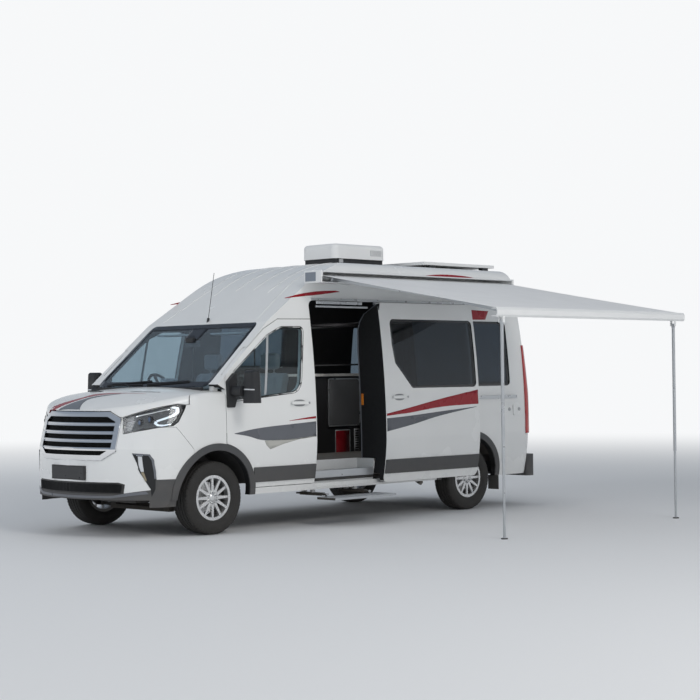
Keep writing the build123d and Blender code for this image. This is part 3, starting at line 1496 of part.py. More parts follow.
with BuildPart() as solar_panel:
    add(block(-600, 600, solar_front, solar_rear, 2766, 2800))
    with BuildPart(mode=Mode.PRIVATE) as feet:
        for x in (-560, 560):
            for station in (solar_front + 150, solar_rear - 150):
                add(block(x - 30, x + 30, station - 50, station + 50, 2700, 2768))
        add(outer_body, mode=Mode.SUBTRACT)
    add(feet.part)
save(solar_panel, "solar_panel")

with BuildPart() as antenna:
    foot_point, tip_point = Vector(0, y(1790), 2102), Vector(0, y(1880), 2610)
    with BuildSketch(Plane(origin=foot_point - (tip_point - foot_point) * 0.05,
                           z_dir=tip_point - foot_point)):
        Circle(14)
    extrude(amount=60)
    with BuildSketch(Plane(origin=foot_point, z_dir=tip_point - foot_point)):
        Circle(3)
    extrude(amount=(tip_point - foot_point).length)
    add(outer_body, mode=Mode.SUBTRACT)
save(antenna, "antenna")

# Cab: dashboard with steering column, steering wheel, seats
column_x, wheel_station, wheel_z, wheel_radius = -420, 1500, 1400, 190
column_angle = radians(30)
wheel_axis = Vector(0, cos(column_angle), sin(column_angle))
with BuildPart() as dashboard:
    with BuildSketch(Plane.YZ.offset(-830)):
        with BuildLine():
            dash_front = cowl_station + wall + seat_gap
            Polyline(*side((dash_front, 1380), (1180, 1412), (1330, 1392), (1400, 1330), (1410, 1200),
                           (1330, 1020),
                           (1200, 940), (dash_front, 940)), close=True)
        make_face()
    extrude(amount=1660)
    fillet(dashboard.edges().filter_by(Axis.X).filter_by_position(Axis.Z, 1000, 1400), 30)
    add(block(-160, 160, dash_front, 1330, 700, 1000))
    column_start = Vector(column_x, y(wheel_station), wheel_z) - wheel_axis * (50 + seat_gap)
    with BuildSketch(Plane(origin=column_start, z_dir=wheel_axis * -1)):
        Circle(42)
    extrude(amount=160)
save(dashboard, "dashboard")

with BuildPart() as steering_wheel:
    wheel_plane = Plane(origin=(column_x, y(wheel_station), wheel_z), x_dir=(1, 0, 0), z_dir=wheel_axis)
    with BuildSketch(Plane(origin=wheel_plane.origin, x_dir=(1, 0, 0),
                           z_dir=wheel_axis.cross(Vector(1, 0, 0)))):
        with Locations((wheel_radius - 15, 0)):
            Circle(15)
    revolve(axis=Axis(wheel_plane.origin, wheel_axis))
    with BuildSketch(wheel_plane.offset(-50)):
        Circle(60)
    extrude(amount=60)
    for angle in (0, 180, 270):
        with BuildSketch(wheel_plane.offset(-12)):
            with Locations(Location((0, 0), angle)):
                with Locations((wheel_radius / 2 + 10, 0)):
                    Rectangle(wheel_radius - 40, 34)
        extrude(amount=14)
save(steering_wheel, "steering_wheel")


def cab_seat(x):
    with BuildPart() as seat:
        with BuildSketch(Plane.YZ.offset(x - 250)):
            with BuildLine():
                Polyline(*side((1640, 900), (1640, 985), (1720, 1015), (2080, 985), (2190, 1540),
                               (2270, 1580),
                               (2300, 1530), (2190, 940), (2150, 880)), close=True)
            make_face()
        extrude(amount=500)
        fillet(seat.edges().filter_by(Axis.X), 20)
        fillet(seat.edges().filter_by(Axis.X, reverse=True), 16)
        add(block(x - 200, x + 200, 1700, 2120, 640, 900))
        with BuildPart(mode=Mode.PRIVATE) as rest:
            add(block(x - 130, x + 130, 2200, 2290, 1600, 1776))
            fillet(rest.edges(), 30)
        add(rest.part)
        for post in (x - 50, x + 50):
            add(block(post - 7, post + 7, 2238, 2252, 1540, 1620))
    return seat.part


with BuildPart() as cab_seats:
    for x in (-450, 450):
        add(cab_seat(x))
save(cab_seats, "cab_seats")

# Living space: galley with a fridge on the right, bed base and cushions at the rear
with BuildPart() as galley:
    add(block(-860, -360, 3000, 4560, 640, 1515))
    add(block(-880, -340, 2980, 4570, 1515, 1545))
    add(block(-500, -330, 3860, 4410, 920, 1505), mode=Mode.SUBTRACT)
    add(block(-860, 860, 4980, 5700, 640, 960))
    for space in both_sides(arch(arch_radius + 20 + seat_gap, rear_axle_station, 660 - seat_gap, 1200)):
        add(space, mode=Mode.SUBTRACT)
save(galley, "galley")

with BuildPart() as fridge:
    add(block(-500, -352, 3866, 4404, 926, 1500))
save(fridge, "fridge")

with BuildPart() as lounge:
    add(block(-850, 850, 4960, 5690, 960, 1080))
    fillet(lounge.edges(), 30)
save(lounge, "lounge")
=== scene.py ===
import math
import bmesh
import bpy
from mathutils import Matrix, Vector
from mathutils.bvhtree import BVHTree
from mathutils.geometry import tessellate_polygon


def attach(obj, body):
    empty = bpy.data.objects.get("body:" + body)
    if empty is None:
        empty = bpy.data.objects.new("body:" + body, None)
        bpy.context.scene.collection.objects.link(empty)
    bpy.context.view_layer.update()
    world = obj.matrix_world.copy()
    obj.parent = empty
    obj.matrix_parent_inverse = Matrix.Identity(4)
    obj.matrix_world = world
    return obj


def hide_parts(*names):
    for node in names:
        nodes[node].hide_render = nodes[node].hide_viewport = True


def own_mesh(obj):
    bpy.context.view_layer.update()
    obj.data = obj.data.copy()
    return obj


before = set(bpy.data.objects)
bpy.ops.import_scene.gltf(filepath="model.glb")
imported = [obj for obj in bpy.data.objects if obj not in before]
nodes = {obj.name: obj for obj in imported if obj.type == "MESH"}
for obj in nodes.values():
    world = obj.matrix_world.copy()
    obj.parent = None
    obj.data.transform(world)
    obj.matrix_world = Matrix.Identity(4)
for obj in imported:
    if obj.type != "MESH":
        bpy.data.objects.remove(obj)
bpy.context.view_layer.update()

# The stand: a pale floor that runs into a white background, soft lamps and a camera
# at standing height off the van's front left corner, as the photograph was taken.


van_middle, van_nose = 1.0655, 2.97


def at(x, station, height):
    """A point given on the van in mm: width from its middle, station back from the nose, height."""
    return Vector((x / 1000 - van_middle, station / 1000 - van_nose, height / 1000))


camera_yaw, camera_pitch, camera_roll = math.radians(44.744), math.radians(0.816), math.radians(-0.652)
ahead = Vector((-math.sin(camera_yaw) * math.cos(camera_pitch),
                math.cos(camera_yaw) * math.cos(camera_pitch), math.sin(camera_pitch)))
level = Vector((math.cos(camera_yaw), math.sin(camera_yaw), 0))
upright = level.cross(ahead)
camera_right = level * math.cos(camera_roll) + upright * math.sin(camera_roll)
camera_up = upright * math.cos(camera_roll) - level * math.sin(camera_roll)
camera_data = bpy.data.cameras.new("camera")
focal_pixels, photo_pixels = 1678.2, 700
camera_data.sensor_width = 36
camera_data.lens = focal_pixels / photo_pixels * camera_data.sensor_width
camera_data.clip_end = 400
camera = bpy.data.objects.new("camera", camera_data)
camera.matrix_world = Matrix.Translation(at(13346, -9580, 1539)) @ Matrix(
    (camera_right, camera_up, -ahead)).transposed().to_4x4()
bpy.context.collection.objects.link(camera)
bpy.context.scene.camera = camera

bpy.context.scene.view_settings.view_transform = "Standard"
haze = (0.93, 0.94, 0.95, 1)


def node(tree, kind, **values):
    """Adds a node. A value goes on the node's own setting of that name, or else on its socket."""
    made = tree.nodes.new(kind)
    for name, value in values.items():
        if hasattr(made, name):
            setattr(made, name, value)
        else:
            made.inputs[name.replace("_", " ")].default_value = value
    return made


def wire(tree, *runs):
    """Joins sockets. Each run is (node, output, node, input)."""
    for source, output, target, socket in runs:
        tree.links.new(source.outputs[output], target.inputs[socket])


world = bpy.data.worlds.new("studio")
bpy.context.scene.world = world
world.use_nodes = True
sky = world.node_tree
sky.nodes.clear()
sky_mix, shine_mix = (node(sky, "ShaderNodeMixShader") for _ in range(2))
sky_light = node(sky, "ShaderNodeBackground", Color=(0.86, 0.92, 1.0, 1), Strength=0.42)
sky_seen = node(sky, "ShaderNodeBackground", Color=haze)
sky_shine = node(sky, "ShaderNodeBackground", Strength=0.8)
seen = node(sky, "ShaderNodeLightPath")
either = node(sky, "ShaderNodeMath", operation="MAXIMUM")
shine_split = node(sky, "ShaderNodeSeparateXYZ")
shine_ramp = node(sky, "ShaderNodeValToRGB")
shine_steps = shine_ramp.color_ramp.elements
shine_steps[0].position, shine_steps[0].color = 0.0, (0.30, 0.31, 0.32, 1)
shine_steps[1].position, shine_steps[1].color = 0.75, (0.20, 0.26, 0.36, 1)
for height, colour in (
    (0.02, (0.90, 0.92, 0.94, 1)), (0.10, (0.76, 0.80, 0.85, 1)), (0.26, (0.46, 0.52, 0.60, 1)),
):
    shine_steps.new(height).color = colour
wire(sky, (seen, "Is Camera Ray", either, 0), (seen, "Is Transmission Ray", either, 1),
     (either, 0, sky_mix, "Fac"), (node(sky, "ShaderNodeTexCoord"), "Generated", shine_split, 0),
     (shine_split, "Z", shine_ramp, "Fac"), (shine_ramp, "Color", sky_shine, "Color"),
     (seen, "Is Glossy Ray", shine_mix, "Fac"), (sky_light, 0, shine_mix, 1), (sky_shine, 0, shine_mix, 2),
     (shine_mix, 0, sky_mix, 1), (sky_seen, 0, sky_mix, 2),
     (sky_mix, 0, node(sky, "ShaderNodeOutputWorld"), "Surface"))


def lamp(name, place, aim, size, power, colour, glints=True):
    """A round soft lamp aimed at a point. One without glints doesn't show in reflections."""
    data = bpy.data.lights.new(name, "AREA")
    data.shape = "DISK"
    data.size = size
    data.energy = power
    data.color = colour
    thing = bpy.data.objects.new(name, data)
    thing.location = place
    thing.rotation_mode = "QUATERNION"
    thing.rotation_quaternion = (Vector(aim) - Vector(place)).to_track_quat("-Z", "Y")
    thing.visible_glossy = glints
    bpy.context.collection.objects.link(thing)


lamp("key_lamp", (13, -2.5, 11), (-1, 0, 1.0), 6, 640, (1.0, 0.97, 0.93))
lamp("side_lamp", (15, -3.5, 2.6), (-1, 0, 1.0), 5, 400, (1.0, 0.98, 0.96), glints=False)
lamp("nose_lamp", (-3, -15, 8), (-1, -2.5, 1), 8, 600, (0.97, 0.98, 1.0), glints=False)
lamp("room_lamp", at(150, 3100, 2200), at(-352, 3900, 1000), 0.5, 9, (1.0, 0.97, 0.93), glints=False)
lamp("far_lamp", (-14, 6, 9), (-1, 0, 1), 8, 240, (0.95, 0.98, 1.0), glints=False)


def shaded(name, **values):
    """A new material with its node tree and shader. The values go on the shader's own sockets."""
    made = bpy.data.materials.new(name)
    made.use_nodes = True
    shader = made.node_tree.nodes["Principled BSDF"]
    for socket, value in values.items():
        shader.inputs[socket.replace("_", " ")].default_value = value
    return made, made.node_tree, shader


floor_mesh = bpy.data.meshes.new("studio_floor")
floor_mesh.from_pydata([(-90, -90, 0), (90, -90, 0), (90, 90, 0), (-90, 90, 0)], [], [(0, 1, 2, 3)])
studio_floor = bpy.data.objects.new("studio_floor", floor_mesh)
bpy.context.collection.objects.link(studio_floor)
floor_finish, ground, ground_shader = shaded("studio_floor", Base_Color=(0.74, 0.75, 0.76, 1), Roughness=0.85,
                                             Specular_IOR_Level=0.1)
ground_reach = node(ground, "ShaderNodeVectorMath", operation="LENGTH")
ground_fade = node(ground, "ShaderNodeMapRange", interpolation_type="SMOOTHSTEP", From_Min=6, From_Max=26)
ground_mix = node(ground, "ShaderNodeMixShader")
wire(ground, (node(ground, "ShaderNodeTexCoord"), "Object", ground_reach, 0),
     (ground_reach, "Value", ground_fade, "Value"), (ground_fade, 0, ground_mix, "Fac"),
     (ground_shader, 0, ground_mix, 1), (node(ground, "ShaderNodeEmission", Color=haze), 0, ground_mix, 2),
     (ground_mix, 0, ground.nodes["Material Output"], "Surface"))
floor_mesh.materials.append(floor_finish)

# Painted shell: body sides, raised roof, bonnet, wings, bumper skin and doors. They are pressed
# steel and moulded skins in one white coach paint under lacquer, with black lining inside.

surface = bpy.data.node_groups.new("surface_variation", "ShaderNodeTree")
for socket, kind, value in (
    ("Colour", "NodeSocketColor", (0.8, 0.8, 0.8, 1)), ("Roughness", "NodeSocketFloat", 0.5),
    ("Mottle Scale", "NodeSocketFloat", 6.0), ("Mottle", "NodeSocketFloat", 0.05),
    ("Roughness Spread", "NodeSocketFloat", 0.08), ("Grain Scale", "NodeSocketFloat", 300.0),
    ("Dust", "NodeSocketFloat", 0.0), ("Dust Top", "NodeSocketFloat", 0.9),
):
    made = surface.interface.new_socket(socket, in_out="INPUT", socket_type=kind)
    made.default_value = value
for socket, kind in (
    ("Colour", "NodeSocketColor"), ("Roughness", "NodeSocketFloat"), ("Height", "NodeSocketFloat"),
):
    surface.interface.new_socket(socket, in_out="OUTPUT", socket_type=kind)
s_in, s_out = node(surface, "NodeGroupInput"), node(surface, "NodeGroupOutput")
s_place = node(surface, "ShaderNodeTexCoord")
s_mottle = node(surface, "ShaderNodeTexNoise", Detail=4)
s_grain = node(surface, "ShaderNodeTexNoise", Detail=2)
s_dust = node(surface, "ShaderNodeTexNoise", Scale=9, Detail=6)
s_shade = node(surface, "ShaderNodeMix", data_type="RGBA", blend_type="MULTIPLY")
s_dark = node(surface, "ShaderNodeMapRange", From_Min=0.35, From_Max=0.65, To_Min=0.55)
s_rough = node(surface, "ShaderNodeMapRange", From_Min=0.3, From_Max=0.7)
s_low, s_high, s_patch, s_amount, s_matt = (
    node(surface, "ShaderNodeMath", operation=sum_kind)
    for sum_kind in ("SUBTRACT", "ADD", "MULTIPLY", "MULTIPLY", "ADD"))
s_matt.use_clamp = True
s_split = node(surface, "ShaderNodeSeparateXYZ")
s_fall = node(surface, "ShaderNodeMapRange", From_Min=0.15, To_Min=1, To_Max=0)
s_coat = node(surface, "ShaderNodeMix", data_type="RGBA", B=(0.27, 0.235, 0.19, 1))
wire(surface, *((s_place, "Object", placed, 0) for placed in (s_mottle, s_grain, s_dust, s_split)),
     (s_in, "Mottle Scale", s_mottle, "Scale"), (s_in, "Grain Scale", s_grain, "Scale"),
     (s_mottle, "Fac", s_dark, "Value"), (s_dark, 0, s_shade, "B"), (s_in, "Colour", s_shade, "A"),
     (s_in, "Mottle", s_shade, "Factor"), (s_in, "Roughness", s_low, 0),
     (s_in, "Roughness Spread", s_low, 1), (s_in, "Roughness", s_high, 0),
     (s_in, "Roughness Spread", s_high, 1), (s_mottle, "Fac", s_rough, "Value"),
     (s_low, 0, s_rough, "To Min"), (s_high, 0, s_rough, "To Max"), (s_split, "Z", s_fall, "Value"),
     (s_in, "Dust Top", s_fall, "From Max"), (s_fall, 0, s_patch, 0), (s_dust, "Fac", s_patch, 1),
     (s_patch, 0, s_amount, 0), (s_in, "Dust", s_amount, 1), (s_amount, 0, s_coat, "Factor"),
     (s_shade, "Result", s_coat, "A"), (s_rough, 0, s_matt, 0), (s_amount, 0, s_matt, 1),
     (s_coat, "Result", s_out, "Colour"), (s_matt, 0, s_out, "Roughness"), (s_grain, "Fac", s_out, "Height"))


def finish(name, colour, roughness, slot=None, mottle=(6, 0.05), spread=0.06, grain=(300, 0.0), dust=(0, 0.9),
           **plain):
    """A finish with mottling, uneven gloss, a grain in relief and dust low down; its slot argument is not
    used.

    Mottle, grain and dust are (scale or amount, strength or top). Plain values go on the shader.
    """
    made, tree, shader = shaded(name, **plain)
    varied = node(tree, "ShaderNodeGroup", node_tree=surface, Colour=(*colour, 1), Roughness=roughness,
                  Mottle_Scale=mottle[0], Mottle=mottle[1], Roughness_Spread=spread, Grain_Scale=grain[0],
                  Dust=dust[0], Dust_Top=dust[1])
    relief = node(tree, "ShaderNodeBump", Distance=0.001, Strength=grain[1])
    wire(tree, (varied, "Colour", shader, "Base Color"), (varied, "Roughness", shader, "Roughness"),
         (varied, "Height", relief, "Height"), (relief, "Normal", shader, "Normal"))
    made.diffuse_color = (*colour, 1)
    return made


def dress(name, first, *others):
    """Gives a CAD piece its finish. Each further finish comes with a rule that picks its faces."""
    mesh = nodes[name].data
    mesh.materials.clear()
    mesh.materials.append(first)
    for number, (material, chosen) in enumerate(others, 1):
        mesh.materials.append(material)
        for face in mesh.polygons:
            if chosen(face.center, face.normal):
                face.material_index = number


white_paint = finish("white_paint", (0.76, 0.77, 0.765), 0.24, "white_paint", mottle=(2.5, 0.03), spread=0.04,
                     grain=(420, 0.02), dust=(0.16, 0.75), Coat_Weight=0.3, Coat_Roughness=0.05,
                     Specular_IOR_Level=0.35)
black_lining = finish("black_lining", (0.012, 0.012, 0.013), 0.75, "black_plastic", mottle=(30, 0.4),
                      grain=(900, 0.25))
black_plastic = finish("black_plastic", (0.021, 0.022, 0.024), 0.5, "black_plastic", mottle=(12, 0.35),
                       spread=0.1, grain=(1400, 0.35), dust=(0.25, 0.9))


def inward(centre, normal):
    """Faces of a body panel that look into the van."""
    out_x = centre.x + van_middle
    looks_back = abs(normal.y) > 0.6 and normal.y * (centre.y + 0.2) < 0
    behind_wheel = normal.y < -0.6 and centre.z < 1 and centre.y < -1.3
    return normal.x * out_x < -0.3 * abs(out_x) or normal.z < -0.6 or looks_back or behind_wheel


front_axle, hub_height, arch_radius = 1.018, 0.356, 0.474


def in_arch(centre, normal):
    """Faces of the wheel arch liners and of the panels' insides."""
    across = centre.x + van_middle
    radius = math.hypot(centre.y + van_nose - front_axle, centre.z - hub_height)
    return radius < arch_radius or normal.x * across < -0.3 * abs(across) or normal.z < -0.6


for panel in ("body_sides", "roof_panel", "left_door", "right_door"):
    dress(panel, white_paint, (black_lining, inward))
dress("sliding_door", white_paint, (black_lining, lambda centre, normal: normal.x < -0.3 or normal.y < -0.7))
dress("bonnet", white_paint, (black_plastic, lambda centre, normal: normal.z < -0.3))
dress("front_wings", white_paint, (black_plastic, in_arch))
dress("front_bumper", white_paint, (black_plastic, lambda centre, normal: normal.y > 0.3))

# Glass: laminated windscreen with a clear blue cast, clear front door panes,
# and privacy glass bonded flush into the sliding door and the rear quarters.


def glass(name, tint):
    """Glass that lets light and shadow rays through."""
    made, tree, shader = shaded(name, Base_Color=(*tint, 1), Roughness=0, Transmission_Weight=1, IOR=1.45)
    clear = node(tree, "ShaderNodeBsdfTransparent", Color=(*tint, 1))
    mix = node(tree, "ShaderNodeMixShader")
    wire(tree, (node(tree, "ShaderNodeLightPath"), "Is Shadow Ray", mix, "Fac"), (shader, 0, mix, 1),
         (clear, 0, mix, 2), (mix, 0, tree.nodes["Material Output"], "Surface"))
    return made


screen_glass = glass("screen_glass", (0.44, 0.54, 0.61))
door_glass = glass("door_glass", (0.46, 0.55, 0.58))
privacy_glass = glass("privacy_glass", (0.09, 0.12, 0.15))
dress("windscreen", screen_glass)
dress("left_door_glass", door_glass)
dress("right_door_glass", door_glass)
dress("side_windows", privacy_glass)

# Lower cladding and rear bumper: grained charcoal plastic mouldings, clipped over the paint round
# the arches and along the sills, with rubber mud flaps hanging behind the rear wheels.

cladding_grey = finish("cladding_grey", (0.068, 0.070, 0.074), 0.55, "black_plastic", mottle=(8, 0.25),
                       spread=0.08, grain=(1200, 0.4), dust=(0.3, 0.9))
dress("body_cladding", cladding_grey)
dress("rear_bumper", cladding_grey)


def settle(piece, material=None, body="chassis"):
    """Puts a made piece in the scene on its body, with a finish, or with its own."""
    if piece.name not in bpy.context.collection.objects:
        bpy.context.collection.objects.link(piece)
    if material:
        piece.data.materials.append(material)
    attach(piece, body)
    return piece


def from_bmesh(name, shape, smooth=True):
    """Turns a bmesh into an object and frees it."""
    mesh = bpy.data.meshes.new(name)
    shape.to_mesh(mesh)
    shape.free()
    for face in mesh.polygons:
        face.use_smooth = smooth
    return bpy.data.objects.new(name, mesh)


rays = {"left": Vector((-1, 0, 0)), "right": Vector((1, 0, 0)), "front": Vector((0, 1, 0)),
        "rear": Vector((0, -1, 0)), "top": Vector((0, 0, -1))}
starts = {"left": lambda u, v: at(3000, u, v), "right": lambda u, v: at(-3000, u, v),
          "front": lambda u, v: at(u, -2000, v), "rear": lambda u, v: at(u, 8000, v),
          "top": lambda u, v: at(u, v, 5000)}
skins = {}


def skin(names):
    """The faces of one or more CAD pieces as one tree to cast rays at."""
    if names not in skins:
        points, faces = [], []
        for name in (names,) if isinstance(names, str) else names:
            mesh = nodes[name].data
            first = len(points)
            points += [vertex.co.copy() for vertex in mesh.vertices]
            faces += [[first + index for index in face.vertices] for face in mesh.polygons]
        skins[names] = BVHTree.FromPolygons(points, faces)
    return skins[names]


def eased(piece, soft, segments, angle):
    """Rounds a piece's edges where they turn by more than an angle in degrees."""
    rounding = piece.modifiers.new("rounded", "BEVEL")
    rounding.width = soft / 1000
    rounding.segments = segments
    rounding.limit_method = "ANGLE"
    rounding.angle_limit = math.radians(angle)


def laid_on(name, names, side, rings, lift, material, step=60, thick=0.0, soft=0.0, body="chassis"):
    """A thin piece that follows the outside of CAD pieces as they are seen from one side.

    Rings are its outline and its holes in mm: (station, height) on the sides, (width, height) on the
    ends and (width, station) on top. The piece stands lift above the surface and is thick mm deep.
    """
    sheet = bmesh.new()
    corners = [[Vector((u, v, 0)) for u, v in ring] for ring in rings]
    made = [sheet.verts.new(corner) for ring in corners for corner in ring]
    for triangle in tessellate_polygon(corners):
        sheet.faces.new([made[index] for index in triangle])
    for axis in (0, 1):
        values = [corner[axis] for ring in corners for corner in ring]
        cut = min(values) + step
        while cut < max(values) - 1:
            place, along = Vector((0, 0, 0)), Vector((0, 0, 0))
            place[axis], along[axis] = cut, 1
            bmesh.ops.bisect_plane(sheet, geom=sheet.verts[:] + sheet.edges[:] + sheet.faces[:],
                                   plane_co=place, plane_no=along)
            cut += step
    bmesh.ops.remove_doubles(sheet, verts=sheet.verts, dist=0.05)
    tree, ray, start = skin(names), rays[side], starts[side]
    missed, landed = [], []
    for vertex in sheet.verts:
        flat = vertex.co.copy()
        origin = start(flat.x, flat.y)
        hit = tree.ray_cast(origin, ray)[0]
        if hit is None:
            missed.append((vertex, flat, origin))
        else:
            landed.append((flat, (hit - origin).dot(ray)))
            vertex.co = hit - ray * lift / 1000
    for vertex, flat, origin in missed:
        depth = min(landed, key=lambda known: (known[0] - flat).length)[1]
        vertex.co = origin + ray * (depth - lift / 1000)
    for face in sheet.faces:
        face.normal_update()
        if face.normal.dot(ray) > 0:
            face.normal_flip()
    piece = from_bmesh(name, sheet)
    if thick:
        wall = piece.modifiers.new("wall", "SOLIDIFY")
        wall.thickness = thick / 1000
        wall.offset = -1
    if soft:
        eased(piece, soft, 2, 50)
    return settle(piece, material, body)


sides = ("left", 1), ("right", -1)


def on_side(ring, sign):
    """An outline drawn for the left side, or the same on the other side of the van's middle."""
    return [(sign * u, v) for u, v in ring]


def spline(a, b, c, d, t):
    """A point on the smooth run from b to c of a line that comes from a and goes on to d."""
    spot = 0.5 * ((2 * b) + (c - a) * t + (2 * a - 5 * b + 4 * c - d) * t ** 2
                  + (3 * b - a - 3 * c + d) * t ** 3)
    return spot.x, spot.y


def flowing(ring, parts=5):
    """A smooth closed outline through the points of a ring."""
    out, count = [], len(ring)
    for index in range(count):
        a, b, c, d = (Vector(ring[(index + shift) % count]) for shift in (-1, 0, 1, 2))
        out += [spline(a, b, c, d, part / parts) for part in range(parts)]
    return out


# Nose: a chromed hexagon with four bars before a black mesh, a black lower intake, fog lamp
# bezels with a clear strip, a silver lip and an empty plate holder, all screwed to the bumper.

chrome = finish("chrome", (0.70, 0.71, 0.73), 0.07, "chrome_trim", mottle=(5, 0.08), spread=0.03,
                Metallic=1.0)
silver_trim = finish("silver_trim", (0.52, 0.54, 0.56), 0.3, "silver", mottle=(9, 0.1), dust=(0.2, 0.8),
                     Metallic=0.6)
gloss_black = finish("gloss_black", (0.008, 0.008, 0.009), 0.12, "black_plastic", mottle=(9, 0.2),
                     spread=0.04, Coat_Weight=0.6)
intake_black = finish("intake_black", (0.006, 0.006, 0.006), 0.7, "black_plastic", mottle=(20, 0.3),
                      grain=(700, 0.3))


nose_radius, lean_start, nose_lean = 1500, 850, 0.25


def nose_station(x, z):
    """How far back the nose's surface lies at a width and a height, in mm."""
    return nose_radius - math.sqrt(nose_radius ** 2 - x * x) + max(0, (z - lean_start) * nose_lean)


def behind_chrome(centre, normal):
    """Faces of the grille that lie deeper than its chromed frame and bars."""
    front = nose_station((centre.x + van_middle) * 1000, centre.z * 1000)
    return (centre.y + van_nose) * 1000 - front > 18


dress("grille", chrome, (intake_black, behind_chrome))

cells = bpy.data.node_groups.new("mesh_cells", "GeometryNodeTree")
cells.is_modifier = True
cells.interface.new_socket("Geometry", in_out="INPUT", socket_type="NodeSocketGeometry")
for socket, value in (("Bar Length", 0.01), ("Bar Width", 0.002), ("Turn", 0.8)):
    cells.interface.new_socket(socket, in_out="INPUT", socket_type="NodeSocketFloat").default_value = value
cells.interface.new_socket("Material", in_out="INPUT", socket_type="NodeSocketMaterial")
cells.interface.new_socket("Geometry", in_out="OUTPUT", socket_type="NodeSocketGeometry")
c_in, c_out = node(cells, "NodeGroupInput"), node(cells, "NodeGroupOutput")
c_points = node(cells, "GeometryNodeMeshToPoints")
c_size = node(cells, "ShaderNodeCombineXYZ")
c_bar = node(cells, "GeometryNodeMeshCube")
c_turns = [node(cells, "ShaderNodeCombineXYZ") for _ in range(2)]
c_other = node(cells, "ShaderNodeMath", operation="MULTIPLY")
c_other.inputs[1].default_value = -1
c_join = node(cells, "GeometryNodeJoinGeometry")
c_real = node(cells, "GeometryNodeRealizeInstances")
c_paint = node(cells, "GeometryNodeSetMaterial")
wire(cells, (c_in, "Geometry", c_points, "Mesh"), (c_in, "Bar Length", c_size, "X"),
     (c_in, "Bar Width", c_size, "Y"), (c_in, "Bar Width", c_size, "Z"), (c_size, 0, c_bar, "Size"),
     (c_in, "Turn", c_turns[0], "Y"), (c_in, "Turn", c_other, 0), (c_other, 0, c_turns[1], "Y"),
     (c_join, 0, c_real, 0), (c_real, 0, c_paint, "Geometry"), (c_in, "Material", c_paint, "Material"),
     (c_paint, 0, c_out, "Geometry"))
for c_turn in c_turns:
    c_set = node(cells, "GeometryNodeInstanceOnPoints")
    wire(cells, (c_points, "Points", c_set, "Points"), (c_bar, "Mesh", c_set, "Instance"),
         (c_turn, 0, c_set, "Rotation"), (c_set, "Instances", c_join, 0))


def baked(piece):
    """The mesh that a piece's modifiers make of it. They are taken off."""
    mesh = bpy.data.meshes.new_from_object(piece.evaluated_get(bpy.context.evaluated_depsgraph_get()))
    piece.modifiers.clear()
    return mesh


def grown(name, points, tree, **values):
    """Runs a node tree on loose points and keeps what it makes as a plain mesh."""
    seeds = bpy.data.meshes.new(name + "_seeds")
    seeds.from_pydata(points, [], [])
    holder = bpy.data.objects.new(name + "_seeds", seeds)
    bpy.context.collection.objects.link(holder)
    maker = holder.modifiers.new("maker", "NODES")
    maker.node_group = tree
    for item in tree.interface.items_tree:
        if item.in_out == "INPUT" and item.name.replace(" ", "_") in values:
            maker[item.identifier] = values[item.name.replace(" ", "_")]
    mesh = baked(holder)
    bpy.data.objects.remove(holder)
    mesh.name = name
    return bpy.data.objects.new(name, mesh)


def inside(u, v, ring):
    """Whether a point lies within an outline."""
    odd = False
    for (a, b), (c, d) in zip(ring, ring[1:] + ring[:1]):
        if (b > v) != (d > v) and u < (c - a) * (v - b) / (d - b) + a:
            odd = not odd
    return odd


def mesh_panel(name, names, ring, pitch, lift, deeper):
    """A plastic mesh of crossed bars over a dark recess, laid out in rows inside an outline."""
    tree, points = skin(names), []
    lows = [min(corner[axis] for corner in ring) for axis in (0, 1)]
    highs = [max(corner[axis] for corner in ring) for axis in (0, 1)]
    row, height = 0, lows[1] + pitch / 2
    while height < highs[1]:
        across = lows[0] + (pitch if row % 2 else 0)
        while across < highs[0]:
            if inside(across, height, ring):
                hit = tree.ray_cast(at(across, -2000, height), rays["front"])[0]
                if hit is not None and (hit.y + van_nose) * 1000 - nose_station(across, height) > deeper:
                    points.append(hit - rays["front"] * lift / 1000)
            across += 2 * pitch
        row, height = row + 1, height + pitch * 0.62
    piece = grown(name, points, cells, Bar_Length=pitch * 2.36 / 1000, Bar_Width=0.0022, Turn=0.555,
                  Material=intake_black)
    return settle(piece)


def oblong(u, v, last_u, last_v):
    """The outline of an upright rectangle."""
    return [(u, v), (last_u, v), (last_u, last_v), (u, last_v)]


grille_inner = [(-420, 1160), (420, 1160), (560, 1085), (548, 862), (405, 790), (-405, 790), (-548, 862),
                (-560, 1085)]
mesh_panel("grille_mesh", "grille", grille_inner, 9, 3, 20)
for number, height in enumerate((1085, 1005, 928, 851)):
    wide = (548, 566, 558, 548)[number]
    laid_on(f"bar_cap_{number}", "grille", "front", [oblong(-wide, height + 1, wide, height + 14)],
            0.4 if number == 3 else 3.5, chrome, step=40, thick=4, soft=2.5)
nose_skin = ("front_bumper", "body_cladding")
clear_strip = finish("clear_strip", (0.62, 0.64, 0.66), 0.12, "lamp_glass", mottle=(25, 0.1), Coat_Weight=0.7)
lip_grey = finish("lip_grey", (0.17, 0.18, 0.20), 0.32, "silver", mottle=(9, 0.12), dust=(0.15, 0.8),
                  Metallic=0.35)
fog_warm = finish("fog_reflector", (0.34, 0.29, 0.20), 0.2, "lamp_glass", mottle=(60, 0.35), Metallic=0.6,
                  Coat_Weight=0.8)
bezel_black = finish("bezel_black", (0.012, 0.012, 0.013), 0.4, "black_plastic", mottle=(20, 0.3),
                     grain=(900, 0.3))
intake = [(-640, 440), (640, 440), (652, 512), (600, 522), (-600, 522), (-652, 512)]
laid_on("intake_frame", nose_skin, "front",
        [[(-668, 426), (668, 426), (682, 520), (620, 537), (-620, 537), (-682, 520)], intake], 0.9,
        black_plastic, step=50, thick=5, soft=0.4)
laid_on("intake_back", nose_skin, "front", [intake], 0.4, intake_black, step=50)
mesh_panel("intake_mesh", nose_skin, intake, 9, -0.2, -5)
